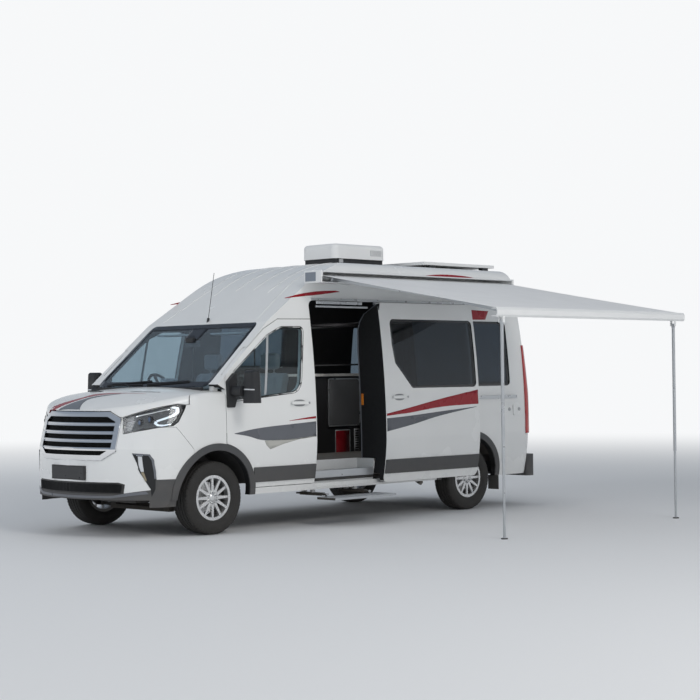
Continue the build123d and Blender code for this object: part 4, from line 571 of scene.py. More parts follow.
for side, sign in sides:
    for part, ring, lift, material, step, thick, soft in (
            ("lip", [(0, 406), (300, 407), (300, 384), (0, 382)], 0.9, lip_grey, 40, 5, 0.5),
            ("lip_end", [(296, 407), (560, 411), (700, 438), (850, 456), (868, 430), (700, 408), (560, 388),
                         (296, 384)], 5, lip_grey, 30, 9, 1.5),
            ("fog_bezel", [(752, 813), (874, 801), (893, 751), (903, 640), (905, 578), (903, 470), (884, 405),
                           (879, 476), (837, 580), (812, 630), (798, 667), (790, 720)], 4, bezel_black,
             25, 6, 1.5),
            ("fog_edge", [(756, 815), (878, 804), (898, 752), (908, 640), (909, 570), (900, 572), (897, 642),
                          (887, 746), (870, 791), (766, 802)], 8, lip_grey, 25, 8, 2),
            ("fog_brow", [(786, 798), (836, 794), (836, 788), (788, 791)], 9, chrome, 25, 4, 1),
            ("fog_lens", [(800, 785), (830, 782), (836, 700), (842, 642), (822, 638), (806, 700)], 9,
             clear_strip, 20, 5, 1.5),
            ("fog_reflector", [(822, 634), (842, 638), (860, 560), (852, 545), (834, 590)], 9, fog_warm,
             20, 5, 1.5)):
        laid_on(f"{part}_{side}", nose_skin, "front", [on_side(ring, sign)], lift, material, step, thick,
                soft)
blank_black = finish("blank_black", (0.03, 0.031, 0.033), 0.35, "black_plastic", mottle=(14, 0.2),
                     spread=0.08)


def slab(name, low, high, material, soft=0.0, body="chassis", smooth=False):
    """A straight piece between two corners given on the van in mm, with its edges eased."""
    shape = bmesh.new()
    bmesh.ops.create_cube(shape, size=1)
    low, high = at(*low), at(*high)
    for vertex in shape.verts:
        vertex.co = Vector([(low[axis] + high[axis]) / 2 + vertex.co[axis] * (high[axis] - low[axis])
                            for axis in range(3)])
    if soft:
        bmesh.ops.bevel(shape, geom=shape.edges[:], offset=soft / 1000, segments=3, profile=0.6,
                        affect="EDGES")
    return settle(from_bmesh(name, shape, smooth), material, body)


slab("plate_holder", (-262, -0.4, 553), (262, 26, 690), black_plastic, soft=3)
slab("blank_plate", (-248, -0.9, 566), (248, 4, 677), blank_black, soft=0.6)

# Headlamps: a clear moulded lens over a grey housing with cooling slats, two projector modules
# with bluish lenses in black collars, and a white light guide bent round the outer end.

lamp_clear = glass("lamp_clear", (0.95, 0.97, 0.98))
lamp_housing = finish("lamp_housing", (0.045, 0.048, 0.052), 0.25, "silver", mottle=(12, 0.2), Metallic=0.35)
light_guide = finish("light_guide", (0.74, 0.82, 0.92), 0.18, "lamp_glass", mottle=(30, 0.05),
                     Coat_Weight=0.8)
projector_glass = finish("projector_glass", (0.05, 0.09, 0.17), 0.04, "lamp_glass", mottle=(20, 0.1),
                         spread=0.02, Coat_Weight=1.0)
lamp_corners = [(607, 1143), (735, 1185), (864, 1228), (940, 1255), (964, 1263), (980, 1250), (984, 1200),
                (977, 1140), (968, 1090), (958, 1069), (900, 1048), (830, 1036), (735, 1012), (640, 993),
                (615, 1050)]
guide_line = [(938, 1240), (962, 1234), (965, 1196), (948, 1160), (915, 1134), (880, 1112)]
guide_hook = [(878, 1110), (874, 1092), (890, 1074), (918, 1070), (950, 1080)]


def stroke(line, width):
    """The outline of a line drawn with some width."""
    sides = ([], [])
    for before, here, after in zip(line[:1] + line[:-1], line, line[1:] + line[-1:]):
        along = (Vector(after) - Vector(before)).normalized()
        across = Vector((-along.y, along.x)) * width / 2
        sides[0].append(tuple(Vector(here) + across))
        sides[1].append(tuple(Vector(here) - across))
    return sides[0] + sides[1][::-1]


def turned_about(name, centre, axis, rings, count=32):
    """A turned piece: rings are (distance along the axis, radius) in mm, and both ends are closed."""
    shape = bmesh.new()
    axis = Vector(axis).normalized()
    across = axis.orthogonal().normalized()
    beside = axis.cross(across)
    loops = []
    for along, radius in rings:
        loops.append([shape.verts.new(centre + axis * along / 1000
                                      + (across * math.cos(turn) + beside * math.sin(turn)) * radius / 1000)
                      for turn in (math.tau * step / count for step in range(count))])
    for lower, upper in zip(loops, loops[1:]):
        for index in range(count):
            after = (index + 1) % count
            shape.faces.new((lower[index], lower[after], upper[after], upper[index]))
    shape.faces.new(loops[0][::-1])
    shape.faces.new(loops[-1])
    bmesh.ops.recalc_face_normals(shape, faces=shape.faces)
    return from_bmesh(name, shape)


for side, sign in sides:
    lens = laid_on(f"headlamp_lens_{side}", "headlamps", "front", [on_side(lamp_corners, sign)], -0.5,
                   lamp_clear, step=14, thick=2.5)
    housing = laid_on(f"headlamp_housing_{side}", "headlamps", "front", [on_side(lamp_corners, sign)], -34,
                      lamp_housing, step=20, thick=4)
    if sign > 0:
        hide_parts("headlamps")
    rim = [(u * 0.93 + 810 * 0.07, v * 0.9 + 1130 * 0.1) for u, v in lamp_corners]
    laid_on(f"headlamp_brow_{side}", "headlamps", "front",
            [on_side(lamp_corners, sign), on_side(rim, sign)], -5, gloss_black, step=20, thick=26)
    for part, line in (("guide", guide_line), ("hook", guide_hook)):
        laid_on(f"light_{part}_{side}", "headlamps", "front", [on_side(stroke(line, 17), sign)], -9,
                light_guide, step=12, thick=7, soft=1.5)
    laid_on(f"lamp_blade_{side}", "headlamps", "front",
            [on_side([(720, 1160), (850, 1196), (930, 1226), (928, 1218), (850, 1186), (722, 1150)], sign)],
            -12, chrome, step=20, thick=6, soft=1)
    for number, (across, height, size) in enumerate(((826, 1128, 30), (752, 1100, 28))):
        middle = skin("headlamps").ray_cast(starts["front"](sign * across, height), rays["front"])[0]
        middle = middle + rays["front"] * 0.034
        collar = turned_about(f"projector_collar_{side}_{number}", middle, (0, -1, 0),
                              [(-16, size + 5), (14, size + 6), (20, size + 4), (20, size), (4, size - 1)])
        settle(collar, gloss_black)
        lens = turned_about(f"projector_lens_{side}_{number}", middle, (0, -1, 0),
                            [(0, size - 1)] + [(4 + 14 * math.sin(turn), (size - 1) * math.cos(turn))
                                               for turn in (0.0, 0.3, 0.6, 0.9, 1.2, 1.45)])
        settle(lens, projector_glass)
    for number in range(6):
        low, near, far = 1022 + number * 15, 640 + number * 2, 700 + number * 3
        laid_on(f"headlamp_slat_{side}_{number}", "headlamps", "front",
                [on_side([(near, low), (far, low + 12), (far, low + 17), (near, low + 5)], sign)], -20,
                silver_trim, step=30, thick=4)

# Window surrounds: black ceramic print round the windscreen, and black rubber or print round the
# side panes, bonded flush. The front door panes slide in black channels with a pale divider.

black_print = finish("black_print", (0.010, 0.010, 0.011), 0.14, "black_plastic", mottle=(15, 0.2),
                     spread=0.03, Coat_Weight=0.4)
black_rubber = finish("black_rubber", (0.018, 0.018, 0.018), 0.62, "black_plastic", mottle=(15, 0.3),
                      grain=(800, 0.3), dust=(0.2, 1.2))


def inset(ring, amount):
    """An outline drawn in by an amount, for a ring that runs anticlockwise or clockwise."""
    area = sum(a * d - c * b for (a, b), (c, d) in zip(ring, ring[1:] + ring[:1]))
    turn = 1 if area > 0 else -1
    out = []
    for before, here, after in zip(ring[-1:] + ring[:-1], ring, ring[1:] + ring[:1]):
        one, two = Vector(here) - Vector(before), Vector(after) - Vector(here)
        one, two = Vector((-one.y, one.x)).normalized() * turn, Vector((-two.y, two.x)).normalized() * turn
        both = one + two
        out.append(tuple(Vector(here) + both * amount / max(0.35, one.dot(both))))
    return out


def bordered(name, names, side, ring, width, body="chassis"):
    """A flat printed band along the edge of a pane."""
    return laid_on(name, names, side, [ring, inset(ring, width)], 0.8, black_print, body=body, thick=0.6)


def rounded(ring, radius, parts=6):
    """An outline with its corners rounded, to one radius or to a list of them."""
    radii = radius if isinstance(radius, (list, tuple)) else [radius] * len(ring)
    out = []
    for before, here, after, size in zip(ring[-1:] + ring[:-1], ring, ring[1:] + ring[:1], radii):
        here = Vector(here)
        back, on = Vector(before) - here, Vector(after) - here
        turn = math.pi - back.angle(on)
        reach = min(size * math.tan(turn / 2), back.length * 0.49, on.length * 0.49)
        first, last = here + back.normalized() * reach, here + on.normalized() * reach
        for part in range(parts + 1):
            t = part / parts
            point = first * (1 - t) ** 2 + here * 2 * t * (1 - t) + last * t ** 2
            out.append((point.x, point.y))
    return out


screen_ring = rounded([(-878, 1434), (878, 1434), (832, 2063), (-832, 2063)], 60)
bordered("screen_print", "windscreen", "front", screen_ring, 46)
laid_on("screen_top_band", "windscreen", "front",
        [[(-800, 2022), (-130, 2022), (-105, 1905), (105, 1905), (130, 2022), (800, 2022), (812, 1985),
          (818, 1985), (812, 2020), (800, 2030), (-800, 2030), (-812, 2020), (-818, 1985), (-812, 1985)]],
        0.8, black_print, thick=0.6)
front_pane = rounded([(1262, 1296), (1262, 1572), (1742, 1932), (1930, 2014), (2236, 2020), (2140, 1370)],
                     [8, 20, 120, 120, 45, 150])
pale_trim = finish("pale_trim", (0.42, 0.43, 0.44), 0.35, "silver", mottle=(12, 0.1))
for side, sign in sides:
    body = f"{side}_front_door"
    laid_on(f"pane_seal_{side}", (f"{side}_door", f"{side}_door_glass"), side,
            [inset(front_pane, -13), inset(front_pane, 7)], 2.5, black_rubber, body=body, thick=4, soft=1)
    laid_on(f"pane_divider_{side}", f"{side}_door_glass", side,
            [[(1652, 1322), (1682, 1324), (1766, 1938), (1736, 1924)]], 3, pale_trim, body=body, step=80,
            thick=4, soft=1)
slider_pane = rounded([(3715, 1380), (3468, 1650), (3438, 1850), (3438, 2120), (4775, 2120), (4775, 1380)],
                      55)
quarter_pane = rounded([(4845, 1385), (4845, 2120), (5400, 2120), (5480, 1385)], 55)
middle_pane = rounded([(2750, 1620), (2750, 2090), (3750, 2090), (3750, 1620)], 55)
for name, side, ring in (
        ("slider_pane", "left", slider_pane), ("left_quarter_pane", "left", quarter_pane),
        ("right_quarter_pane", "right", quarter_pane), ("middle_pane", "right", middle_pane)):
    bordered(f"{name}_print", "side_windows", side, inset(ring, 3), 24)
for side, sign in sides:
    ring = rounded(on_side([(120, 1400), (120, 2150), (760, 2150), (790, 1400)], sign), 50)
    bordered(f"{side}_rear_pane_print", f"rear_door_{side}", "rear", inset(ring, 4), 24, f"{side}_rear_door")

# Door furniture: white moulded pull handles over grey cups that are painted shade for the recesses behind
# them, round locks, grained strips along the foot of each door, and black mirrors with a clear indicator
# strip and silvered glass.

mirror_silver = finish("mirror_silver", (0.86, 0.88, 0.90), 0.03, "chrome_trim", mottle=(3, 0.04),
                       spread=0.01, Metallic=1.0)
cup_grey = finish("cup_grey", (0.26, 0.27, 0.28), 0.35, "silver", mottle=(20, 0.2))
lock_steel = finish("lock_steel", (0.45, 0.46, 0.47), 0.3, "steel", mottle=(40, 0.2), Metallic=0.8)


def pull_handle(name, panel, side, u, v, body, length=250):
    """A horizontal pull handle with its cup and lock; u and v are the handle's middle in mm."""
    half = length / 2
    # The cup is a flat grey piece laid on the panel: painted shade for a recess that the panel doesn't have.
    laid_on(f"{name}_cup", panel, side,
            [flowing([(u - half * 0.75, v), (u - half * 0.4, v + 30), (u + half * 0.4, v + 30),
                      (u + half * 0.75, v), (u + half * 0.4, v - 32), (u - half * 0.4, v - 32)])], 0.7,
            cup_grey, body=body, step=40)
    grip = rounded([(u - half, v - 15), (u + half, v - 15), (u + half, v + 17), (u - half, v + 17)], 14, 4)
    laid_on(f"{name}_grip", panel, side, [grip], 32, white_paint, body=body, step=30, thick=15, soft=6)
    for end, place in (("front", u - half + 22), ("rear", u + half - 22)):
        foot = rounded([(place - 20, v - 13), (place + 20, v - 13), (place + 20, v + 14),
                        (place - 20, v + 14)], 10, 3)
        laid_on(f"{name}_foot_{end}", panel, side, [foot], 20, white_paint, body=body, step=30, thick=20,
                soft=2)
    hit = skin(panel).ray_cast(starts[side](u + half - 14, v), rays[side])[0]
    barrel = turned_about(f"{name}_lock", hit - rays[side] * 0.032, -rays[side],
                          [(-4, 12), (2, 12), (3.5, 10.5), (3.5, 4), (2.5, 3.5)], 20)
    settle(barrel, lock_steel, body)


for side, sign in sides:
    pull_handle(f"{side}_handle", f"{side}_door", side, 2118, 1252, f"{side}_front_door")
    laid_on(f"{side}_door_strip", f"{side}_door", side,
            [rounded([(1520, 478), (2350, 478), (2350, 626), (1500, 626)], 8, 3)], 13, cladding_grey,
            body=f"{side}_front_door", thick=13, soft=4)
    dress(f"{side}_mirror", black_plastic)
    for part, end, ring, lift, look, step, thick in (
            ("mirror_strip", "front", [(1202, 1396), (1334, 1392), (1334, 1404), (1202, 1408)], 1.5,
             clear_strip, 15, 1.5),
            ("mirror_glass", "rear", rounded(oblong(1172, 1372, 1330, 1565), 20), 1, mirror_silver, 60, 0.8),
            ("lower_mirror", "rear", rounded(oblong(1172, 1285, 1330, 1360), 20), 1, mirror_silver, 60, 0.8)):
        laid_on(f"{side}_{part}", f"{side}_mirror", end, [on_side(ring, sign)], lift, look, step, thick,
                body=f"{side}_front_door")
pull_handle("slider_handle", "sliding_door", "left", 3505, 1287, "chassis", 230)
laid_on("slider_strip", "sliding_door", "left", [rounded(oblong(3296, 478, 4800, 626), 8, 3)], 13,
        cladding_grey, thick=13, soft=4)
dress("scuttle_panel", black_plastic)

# Side doorway: a black rubber seal round the opening, a bright sill tread, three rails for the
# sliding door and an amber reflector on the door's front edge.

dress("sliding_door_rails", silver_trim)
doorway = rounded([(2392, 474), (3272, 474), (3272, 2262), (2392, 2262)], 70)
laid_on("doorway_seal", "body_sides", "left", [inset(doorway, -16), doorway], 4, black_rubber, thick=6,
        soft=2)
inner_edge = [(1030, 2286), (985, 2278), (800, 2178), (735, 2095), (706, 2008), (706, 1792), (721, 1519),
              (736, 1217), (745, 857), (746, 490), (1060, 478), (1090, 581), (1072, 1100), (1062, 1400),
              (1036, 1857), (1010, 2150)]


def upright_panel(name, ring, front, depth, material, soft=0.0):
    """A flat panel square to the van's length, from its (width, height) outline."""
    shape = bmesh.new()
    face = shape.faces.new([shape.verts.new(at(u, front, v)) for u, v in ring])
    made = bmesh.ops.extrude_face_region(shape, geom=[face])
    for thing in made["geom"]:
        if isinstance(thing, bmesh.types.BMVert):
            thing.co.y += depth / 1000
    bmesh.ops.recalc_face_normals(shape, faces=shape.faces)
    piece = from_bmesh(name, shape, smooth=False)
    if soft:
        eased(piece, soft, 3, 30)
    return settle(piece, material)


inner_left = [point for point in inner_edge if point[0] < 990 and point[1] > 485]
upright_panel("slider_lining", inner_edge, 3292, 14, black_lining, soft=5)
upright_panel("slider_lining_edge", inner_left + [(u + 13, v) for u, v in inner_left[::-1]], 3284, 12,
              lip_grey, soft=3)
amber = finish("amber_lens", (0.80, 0.24, 0.02), 0.15, "red_lens", mottle=(60, 0.3), grain=(500, 0.3),
               Coat_Weight=0.8)
slab("slider_reflector", (756, 3286, 1205), (786, 3293, 1325), amber, soft=2)
slab("gutter_rail", (984, 2402, 2262), (1006, 3060, 2292), silver_trim, soft=5)
slab("header_rail", (952, 2420, 2228), (972, 3180, 2248), silver_trim, soft=5)
slab("sill_tread", (886, 2404, 470), (944, 3268, 548), silver_trim, soft=6)
slab("sill_foot", (900, 2404, 441), (938, 3268, 470), black_plastic, soft=2)

# Stripes: cast vinyl film cut to flowing shapes and rolled on to the paint, in dark red and a grey
# that runs across the doors, over the bonnet and along the raised roof.

red_film = finish("red_film", (0.30, 0.014, 0.022), 0.28, "red_lens", mottle=(5, 0.12), spread=0.05,
                  dust=(0.06, 0.8), Coat_Weight=0.1, Specular_IOR_Level=0.3)
grey_film = finish("grey_film", (0.125, 0.133, 0.150), 0.3, "dash_plastic", mottle=(3, 0.2), spread=0.05,
                   dust=(0.06, 0.8), Coat_Weight=0.1, Specular_IOR_Level=0.3)
pale_film = finish("pale_film", (0.46, 0.46, 0.43), 0.3, "dash_plastic", mottle=(3, 0.1), spread=0.05,
                   Coat_Weight=0.1, Specular_IOR_Level=0.3)


def swept(first, last):
    """A stripe between an upper and a lower line, each a smooth run through its points."""
    edges = []
    for line in (first, last):
        points = [line[0]] + list(line) + [line[-1]]
        edge = []
        for a, b, c, d in zip(points, points[1:], points[2:], points[3:]):
            a, b, c, d = map(Vector, (a, b, c, d))
            edge += [spline(a, b, c, d, part / 6) for part in range(6)]
        edges.append(edge + [tuple(line[-1])])
    return edges[0] + edges[1][::-1]


door_grey_ring = swept([(1237, 972), (1480, 1006), (1716, 1026), (2020, 1042), (2345, 1060)],
                       [(1237, 968), (1420, 938), (1618, 893), (1990, 885), (2345, 908)])
door_tail_ring = [(1630, 888), (1655, 842), (1707, 799), (1880, 845), (2100, 885), (2345, 905), (2345, 915),
                  (1990, 892)]
door_red_ring = swept([(1969, 1076), (2150, 1096), (2345, 1113)], [(1969, 1073), (2150, 1082), (2345, 1089)])
slider_red_ring = swept([(3300, 1114), (3660, 1171), (4200, 1262), (4795, 1348)],
                        [(3300, 1090), (3480, 1104), (3660, 1116), (4200, 1170), (4795, 1189)])
slider_grey_ring = swept([(3300, 1064), (3700, 1086), (4127, 1117), (4761, 1159)],
                         [(3300, 926), (3703, 990), (4141, 1072), (4761, 1156)])
roof_ring = swept([(2035, 2318), (2268, 2366), (2520, 2398), (2780, 2412)],
                  [(2035, 2312), (2268, 2338), (2520, 2362), (2843, 2400)])
crest_ring = swept([(4113, 2606), (4400, 2636), (4648, 2644), (4950, 2632), (5186, 2596)],
                   [(4113, 2603), (4500, 2598), (4800, 2596), (5186, 2593)])
quarter_ring = [(4846, 2251), (5214, 2241), (5141, 2141), (4879, 2137)]
for side, panel in (("left", "sliding_door"), ("right", "body_sides")):
    for name, ring, film in (
            ("grey_stripe", door_grey_ring, grey_film), ("pale_tail", door_tail_ring, pale_film),
            ("red_stripe", door_red_ring, red_film)):
        laid_on(f"{side}_door_{name}", f"{side}_door", side, [ring], 1.1, film, body=f"{side}_front_door",
                step=70, thick=0.5)
    for name, ring, film in (("red", slider_red_ring, red_film), ("grey", slider_grey_ring, grey_film)):
        laid_on(f"{side}_side_{name}_stripe", panel, side, [ring], 1.1, film, step=70, thick=0.5)
    for name, panels, ring in (
            ("roof", ("roof_panel", "body_sides"), roof_ring), ("crest", "roof_panel", crest_ring),
            ("quarter", ("roof_panel", "body_sides"), quarter_ring)):
        laid_on(f"{side}_{name}_stripe", panels, side, [ring], 1.4, red_film, step=50, thick=0.5)
bonnet_red_ring = swept([(-560, 170), (-480, 300), (-345, 425), (-273, 545), (96, 574), (473, 592)],
                        [(-395, 120), (-370, 235), (-300, 360), (-205, 470), (96, 555), (473, 589)])
bonnet_grey_ring = swept([(-330, 130), (-315, 235), (-250, 350), (-160, 455), (130, 545)],
                         [(40, 120), (-30, 180), (-120, 290), (-125, 400), (130, 532)])
for name, ring, film in (
        ("bonnet_red", bonnet_red_ring, red_film), ("bonnet_grey", bonnet_grey_ring, grey_film)):
    laid_on(f"{name}_stripe", "bonnet", "top", [ring], 1.2, film, body="bonnet_lid", step=30, thick=0.5)
for name, ring, lining in (
        ("vent", [(-655, 752), (-345, 655), (-340, 694), (-650, 806)], intake_black),
        ("slot", [(178, 624), (380, 650), (568, 684), (566, 706), (376, 672), (178, 646)], cup_grey)):
    laid_on(f"bonnet_{name}", "bonnet", "top", [rounded(ring, 8, 3)], 1.8, lining, body="bonnet_lid", step=40,
            thick=1)

# Road wheels: cast alloy with twelve spokes, six steel nuts and a plain cap, over a steel brake
# disc, in tyres with four straight grooves, sipes across the shoulders and bare sidewalls.

alloy = finish("alloy", (0.78, 0.78, 0.78), 0.24, "alloy", mottle=(14, 0.08), spread=0.07, dust=(0.12, 1.2),
               Metallic=0.75)
disc_steel = finish("disc_steel", (0.16, 0.155, 0.15), 0.38, mottle=(20, 0.35), spread=0.1, Metallic=0.9)
tyre_rubber = finish("tyre_rubber", (0.024, 0.023, 0.022), 0.72, "tyre_rubber", mottle=(10, 0.3), spread=0.08,
                     grain=(600, 0.25), dust=(0.07, 1.4))
tyre_radius, bead_radius = 356, 214
tyre_grooves = (-62, -22, 22, 62)
shoulder_start, sipe_depth, fine_depth, lug_height = 70, 7, 2.5, 1.2


def tyre_section():
    """The tyre's outline from bead to bead as (across, radius, whether it is tread)."""
    side_line = [(84, bead_radius), (99, 222), (108, 238), (114, 256), (118, 280), (117, 300), (112, 318),
                 (107, 332)]
    outline = [(-across, radius, False) for across, radius in side_line]
    tread = [(-102, 343), (-95, 350)]
    for groove in tyre_grooves:
        for shift, depth in ((-6, 0), (-4, 8), (4, 8), (6, 0)):
            across = groove + shift
            tread.append((across, tyre_radius - 4 * (across / 100) ** 2 - depth))
        if groove < 62:
            across = groove + (20 if groove != -22 else 22)
            tread.append((across, tyre_radius - 4 * (across / 100) ** 2))
    tread += [(95, 350), (102, 343)]
    outline += [(across, radius, True) for across, radius in tread]
    outline += [(across, radius, False) for across, radius in side_line[::-1]]
    return outline


def tyre(name, middle, steps=360):
    """A tyre about the X axis with blocks cut by sipes on both shoulders and fine cuts between."""
    section = tyre_section()
    shape = bmesh.new()
    loops = []
    for step in range(steps):
        angle, loop = math.tau * step / steps, []
        for across, radius, tread in section:
            cut = 0
            shoulder = abs(across) > shoulder_start
            if tread and radius > 341 and shoulder and (step + (0 if across > 0 else 3)) % 6 == 0:
                cut = sipe_depth
            fine = abs(across) % 22 > 1 and (step + int(across) % 4) % 4 == 0
            if tread and radius > 352 and not shoulder and fine:
                cut = fine_depth
            if not tread and 318 <= radius <= 332 and step % 6 < 3:
                cut = -lug_height
            reach = (radius - cut) / 1000
            loop.append(shape.verts.new(middle + Vector((across / 1000, math.cos(angle) * reach,
                                                         math.sin(angle) * reach))))
        loops.append(loop)
    for index in range(steps):
        one, two = loops[index], loops[(index + 1) % steps]
        for place in range(len(section) - 1):
            shape.faces.new((one[place], one[place + 1], two[place + 1], two[place]))
        shape.faces.new((one[-1], one[0], two[0], two[-1]))
    bmesh.ops.recalc_face_normals(shape, faces=shape.faces)
    return from_bmesh(name, shape, smooth=False)


wheel_middle = 868
for end, station in (("front", 1018), ("rear", 4778)):
    for side, sign in sides:
        wheel = f"{end}_{side}"
        middle = at(sign * wheel_middle, station, tyre_radius)
        dress(f"{wheel}_wheel", alloy,
              (disc_steel, lambda centre, normal, sign=sign: sign * (centre.x + van_middle) < 0.845))
        rubber = tyre(f"{wheel}_tread", middle)
        settle(rubber, tyre_rubber, f"{wheel}_roadwheel")
        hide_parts(f"{wheel}_tyre")
        cap = turned_about(f"{wheel}_cap", middle + Vector((sign * 0.072, 0, 0)), (sign, 0, 0),
                           [(-6, 31), (9, 31), (12, 29), (13.5, 24), (14, 12)], 32)
        settle(cap, alloy, f"{wheel}_roadwheel")
        nuts = bmesh.new()
        for number in range(6):
            turn = math.tau * (number + 0.5) / 6
            place = middle + Vector((sign * 0.079, math.cos(turn) * 0.0515, math.sin(turn) * 0.0515))
            nut = turned_about("nut", place, (sign, 0, 0), [(-6, 10.5), (12, 10.5), (14, 9), (14, 5)], 6)
            nuts.from_mesh(nut.data)
            bpy.data.objects.remove(nut)
        settle(from_bmesh(f"{wheel}_nuts", nuts, smooth=False), lock_steel, f"{wheel}_roadwheel")

# Rear end: red tail lamps with a clear and an amber segment, doors with a bonded pane, a pull
# handle and an empty plate holder, moulded hinge covers and a high brake lamp on the roof.


def in_pane(centre, normal):
    """Faces of the panes that are bonded into the rear doors."""
    across = abs(centre.x + van_middle)
    return 0.119 < across < 0.791 and 1.399 < centre.z < 2.151 and abs(normal.y) > 0.5


for panel in ("rear_door_left", "rear_door_right"):
    dress(panel, white_paint, (black_lining, inward), (privacy_glass, in_pane))
red_lens = finish("red_lens", (0.42, 0.010, 0.012), 0.16, "red_lens", mottle=(45, 0.3), grain=(500, 0.25),
                  Coat_Weight=0.5)
reversing_lens = finish("reversing_lens", (0.60, 0.58, 0.56), 0.16, "lamp_glass", mottle=(45, 0.2),
                        Coat_Weight=0.6)
dress("tail_lamps", red_lens)
for side, sign in sides:
    for part, low, high, lens in (("reverse", 1150, 1270, reversing_lens), ("turn", 1280, 1390, amber)):
        laid_on(f"{side}_{part}_segment", "tail_lamps", "rear",
                [rounded(oblong(sign * 930, low, sign * 1000, high), 10, 3)], 0.8, lens, step=20, thick=1)
    laid_on(f"{side}_hinge_cover", "body_sides", side, [rounded(oblong(5508, 1040, 5566, 1166), 24)], 12,
            white_paint, step=20, thick=12, soft=4)
    for number, station in enumerate((5446, 5622)):
        hit = skin("body_sides").ray_cast(starts[side](station, 1112), rays[side])[0]
        if hit is not None:
            cover = turned_about(f"{side}_hinge_cap_{number}", hit, -rays[side],
                                 [(-4, 21), (5, 21), (7, 19), (7, 12), (5, 11)], 24)
            settle(cover, pale_trim)
pull_handle("rear_handle", "rear_door_left", "rear", 150, 1190, "left_rear_door", 200)
laid_on("rear_plate_holder", "rear_door_left", "rear", [rounded(oblong(215, 900, 745, 1030), 12, 3)], 9,
        black_plastic, body="left_rear_door", thick=9, soft=2)
laid_on("rear_plate", "rear_door_left", "rear", [oblong(230, 912, 730, 1018)], 11, blank_black,
        body="left_rear_door", thick=2)
laid_on("high_brake_lamp", "roof_panel", "rear", [rounded(oblong(-150, 2478, 150, 2506), 8, 3)], 5, red_lens,
        step=30, thick=5, soft=1.5)

# Roof: moulded stiffening ribs, an air conditioner in a white case over a black base with a slatted
# outlet, a low roof hatch, a framed solar panel of dark cells and a whip aerial.

white_case = finish("white_case", (0.74, 0.75, 0.75), 0.36, "white_case", mottle=(5, 0.05), grain=(900, 0.12),
                    dust=(0.05, 0.8))
for number, (across, first, last) in enumerate(
        ((-430, 2240, 3330), (-140, 2300, 3380), (140, 2300, 3380), (430, 2240, 3330))):
    laid_on(f"roof_rib_{number}", "roof_panel", "top",
            [[(across - 6, first), (across + 6, first), (across + 32, first + 320),
              (across + 34, last - 160), (across + 12, last), (across - 12, last), (across - 34, last - 160),
              (across - 32, first + 320)]], 4, white_paint, step=45, thick=6, soft=3.5)
for side, sign in sides:
    laid_on(f"roof_crease_{side}", "roof_panel", "top",
            [on_side([(748, 1800), (756, 1806), (684, 2110), (630, 2420), (652, 2760), (640, 2764),
                      (612, 2420), (668, 2100)], sign)], 4, white_paint, step=45, thick=5, soft=2)
dress("air_conditioner", white_case, (black_plastic, lambda centre, normal: centre.z < 2.8155))
vent_ring = rounded([(3952, 2858), (4150, 2858), (4150, 2922), (3952, 2922)], 6, 3)
for side in ("left", "right"):
    laid_on(f"cooler_outlet_{side}", "air_conditioner", side, [vent_ring], 0.6, pale_trim, step=40, thick=0.5)
    for number in range(5):
        low = 2862 + number * 12
        laid_on(f"cooler_slat_{side}_{number}", "air_conditioner", side,
                [oblong(3956, low, 4146, low + 5)], 3, white_case, thick=3)
    laid_on(f"cooler_foot_{side}", "air_conditioner", side,
            [rounded(oblong(3480, 2770, 3540, 2812), 8, 3)], 14, pale_trim, step=40, thick=14, soft=3)
laid_on("roof_hatch", "roof_panel", "top", [rounded(oblong(-230, 4245, 230, 4460), 40)], 34, pale_trim,
        thick=34, soft=8)
solar_cells = finish("solar_cells", (0.012, 0.018, 0.045), 0.16, "solar_cells", mottle=(14, 0.3), spread=0.05,
                     Coat_Weight=0.9, Coat_Roughness=0.03)
cell_tree = solar_cells.node_tree
cell_shader = cell_tree.nodes["Principled BSDF"]
cell_paint = cell_shader.inputs["Base Color"].links[0].from_socket
cell_place = node(cell_tree, "ShaderNodeTexCoord")
for width, height, line in ((0.1437, 0.1475, 0.0022), (0.0479, 30.0, 0.0007)):
    gaps = node(cell_tree, "ShaderNodeTexBrick", offset=0, Scale=1, Brick_Width=width, Row_Height=height,
                Mortar_Size=line, Mortar_Smooth=0)
    over = node(cell_tree, "ShaderNodeMix", data_type="RGBA", B=(0.38, 0.40, 0.43, 1))
    wire(cell_tree, (cell_place, "Object", gaps, "Vector"), (gaps, "Fac", over, "Factor"),
         (over, "Result", cell_shader, "Base Color"))
    cell_tree.links.new(cell_paint, over.inputs["A"])
    cell_paint = over.outputs["Result"]
dress("solar_panel", white_case, (black_plastic, lambda centre, normal: centre.z < 2.766))
laid_on("solar_face", "solar_panel", "top", [oblong(-578, 4508, 578, 5693)], 0.8, solar_cells, step=400,
        thick=0.6)
dress("antenna", black_plastic)

# Awning: a wound cloth drawn out of a case on the roof's edge by two folding arms, held at its front
# edge by a rail that stands on two telescopic legs. The cloth is woven acrylic, pulled tight.

silver_coat = finish("silver_coat", (0.50, 0.52, 0.54), 0.32, mottle=(9, 0.1), dust=(0.1, 0.6), Metallic=0.7)
dress("awning_case", white_case)
dress("awning_lead_rail", white_case)
for arm in ("front_inner", "front_outer", "rear_inner", "rear_outer"):
    dress(f"awning_arm_{arm}", silver_coat)
for end in ("front", "rear"):
    dress(f"awning_leg_{end}", silver_coat)
    dress(f"awning_foot_{end}", silver_coat, (black_plastic, lambda centre, normal: centre.z < 0.03))
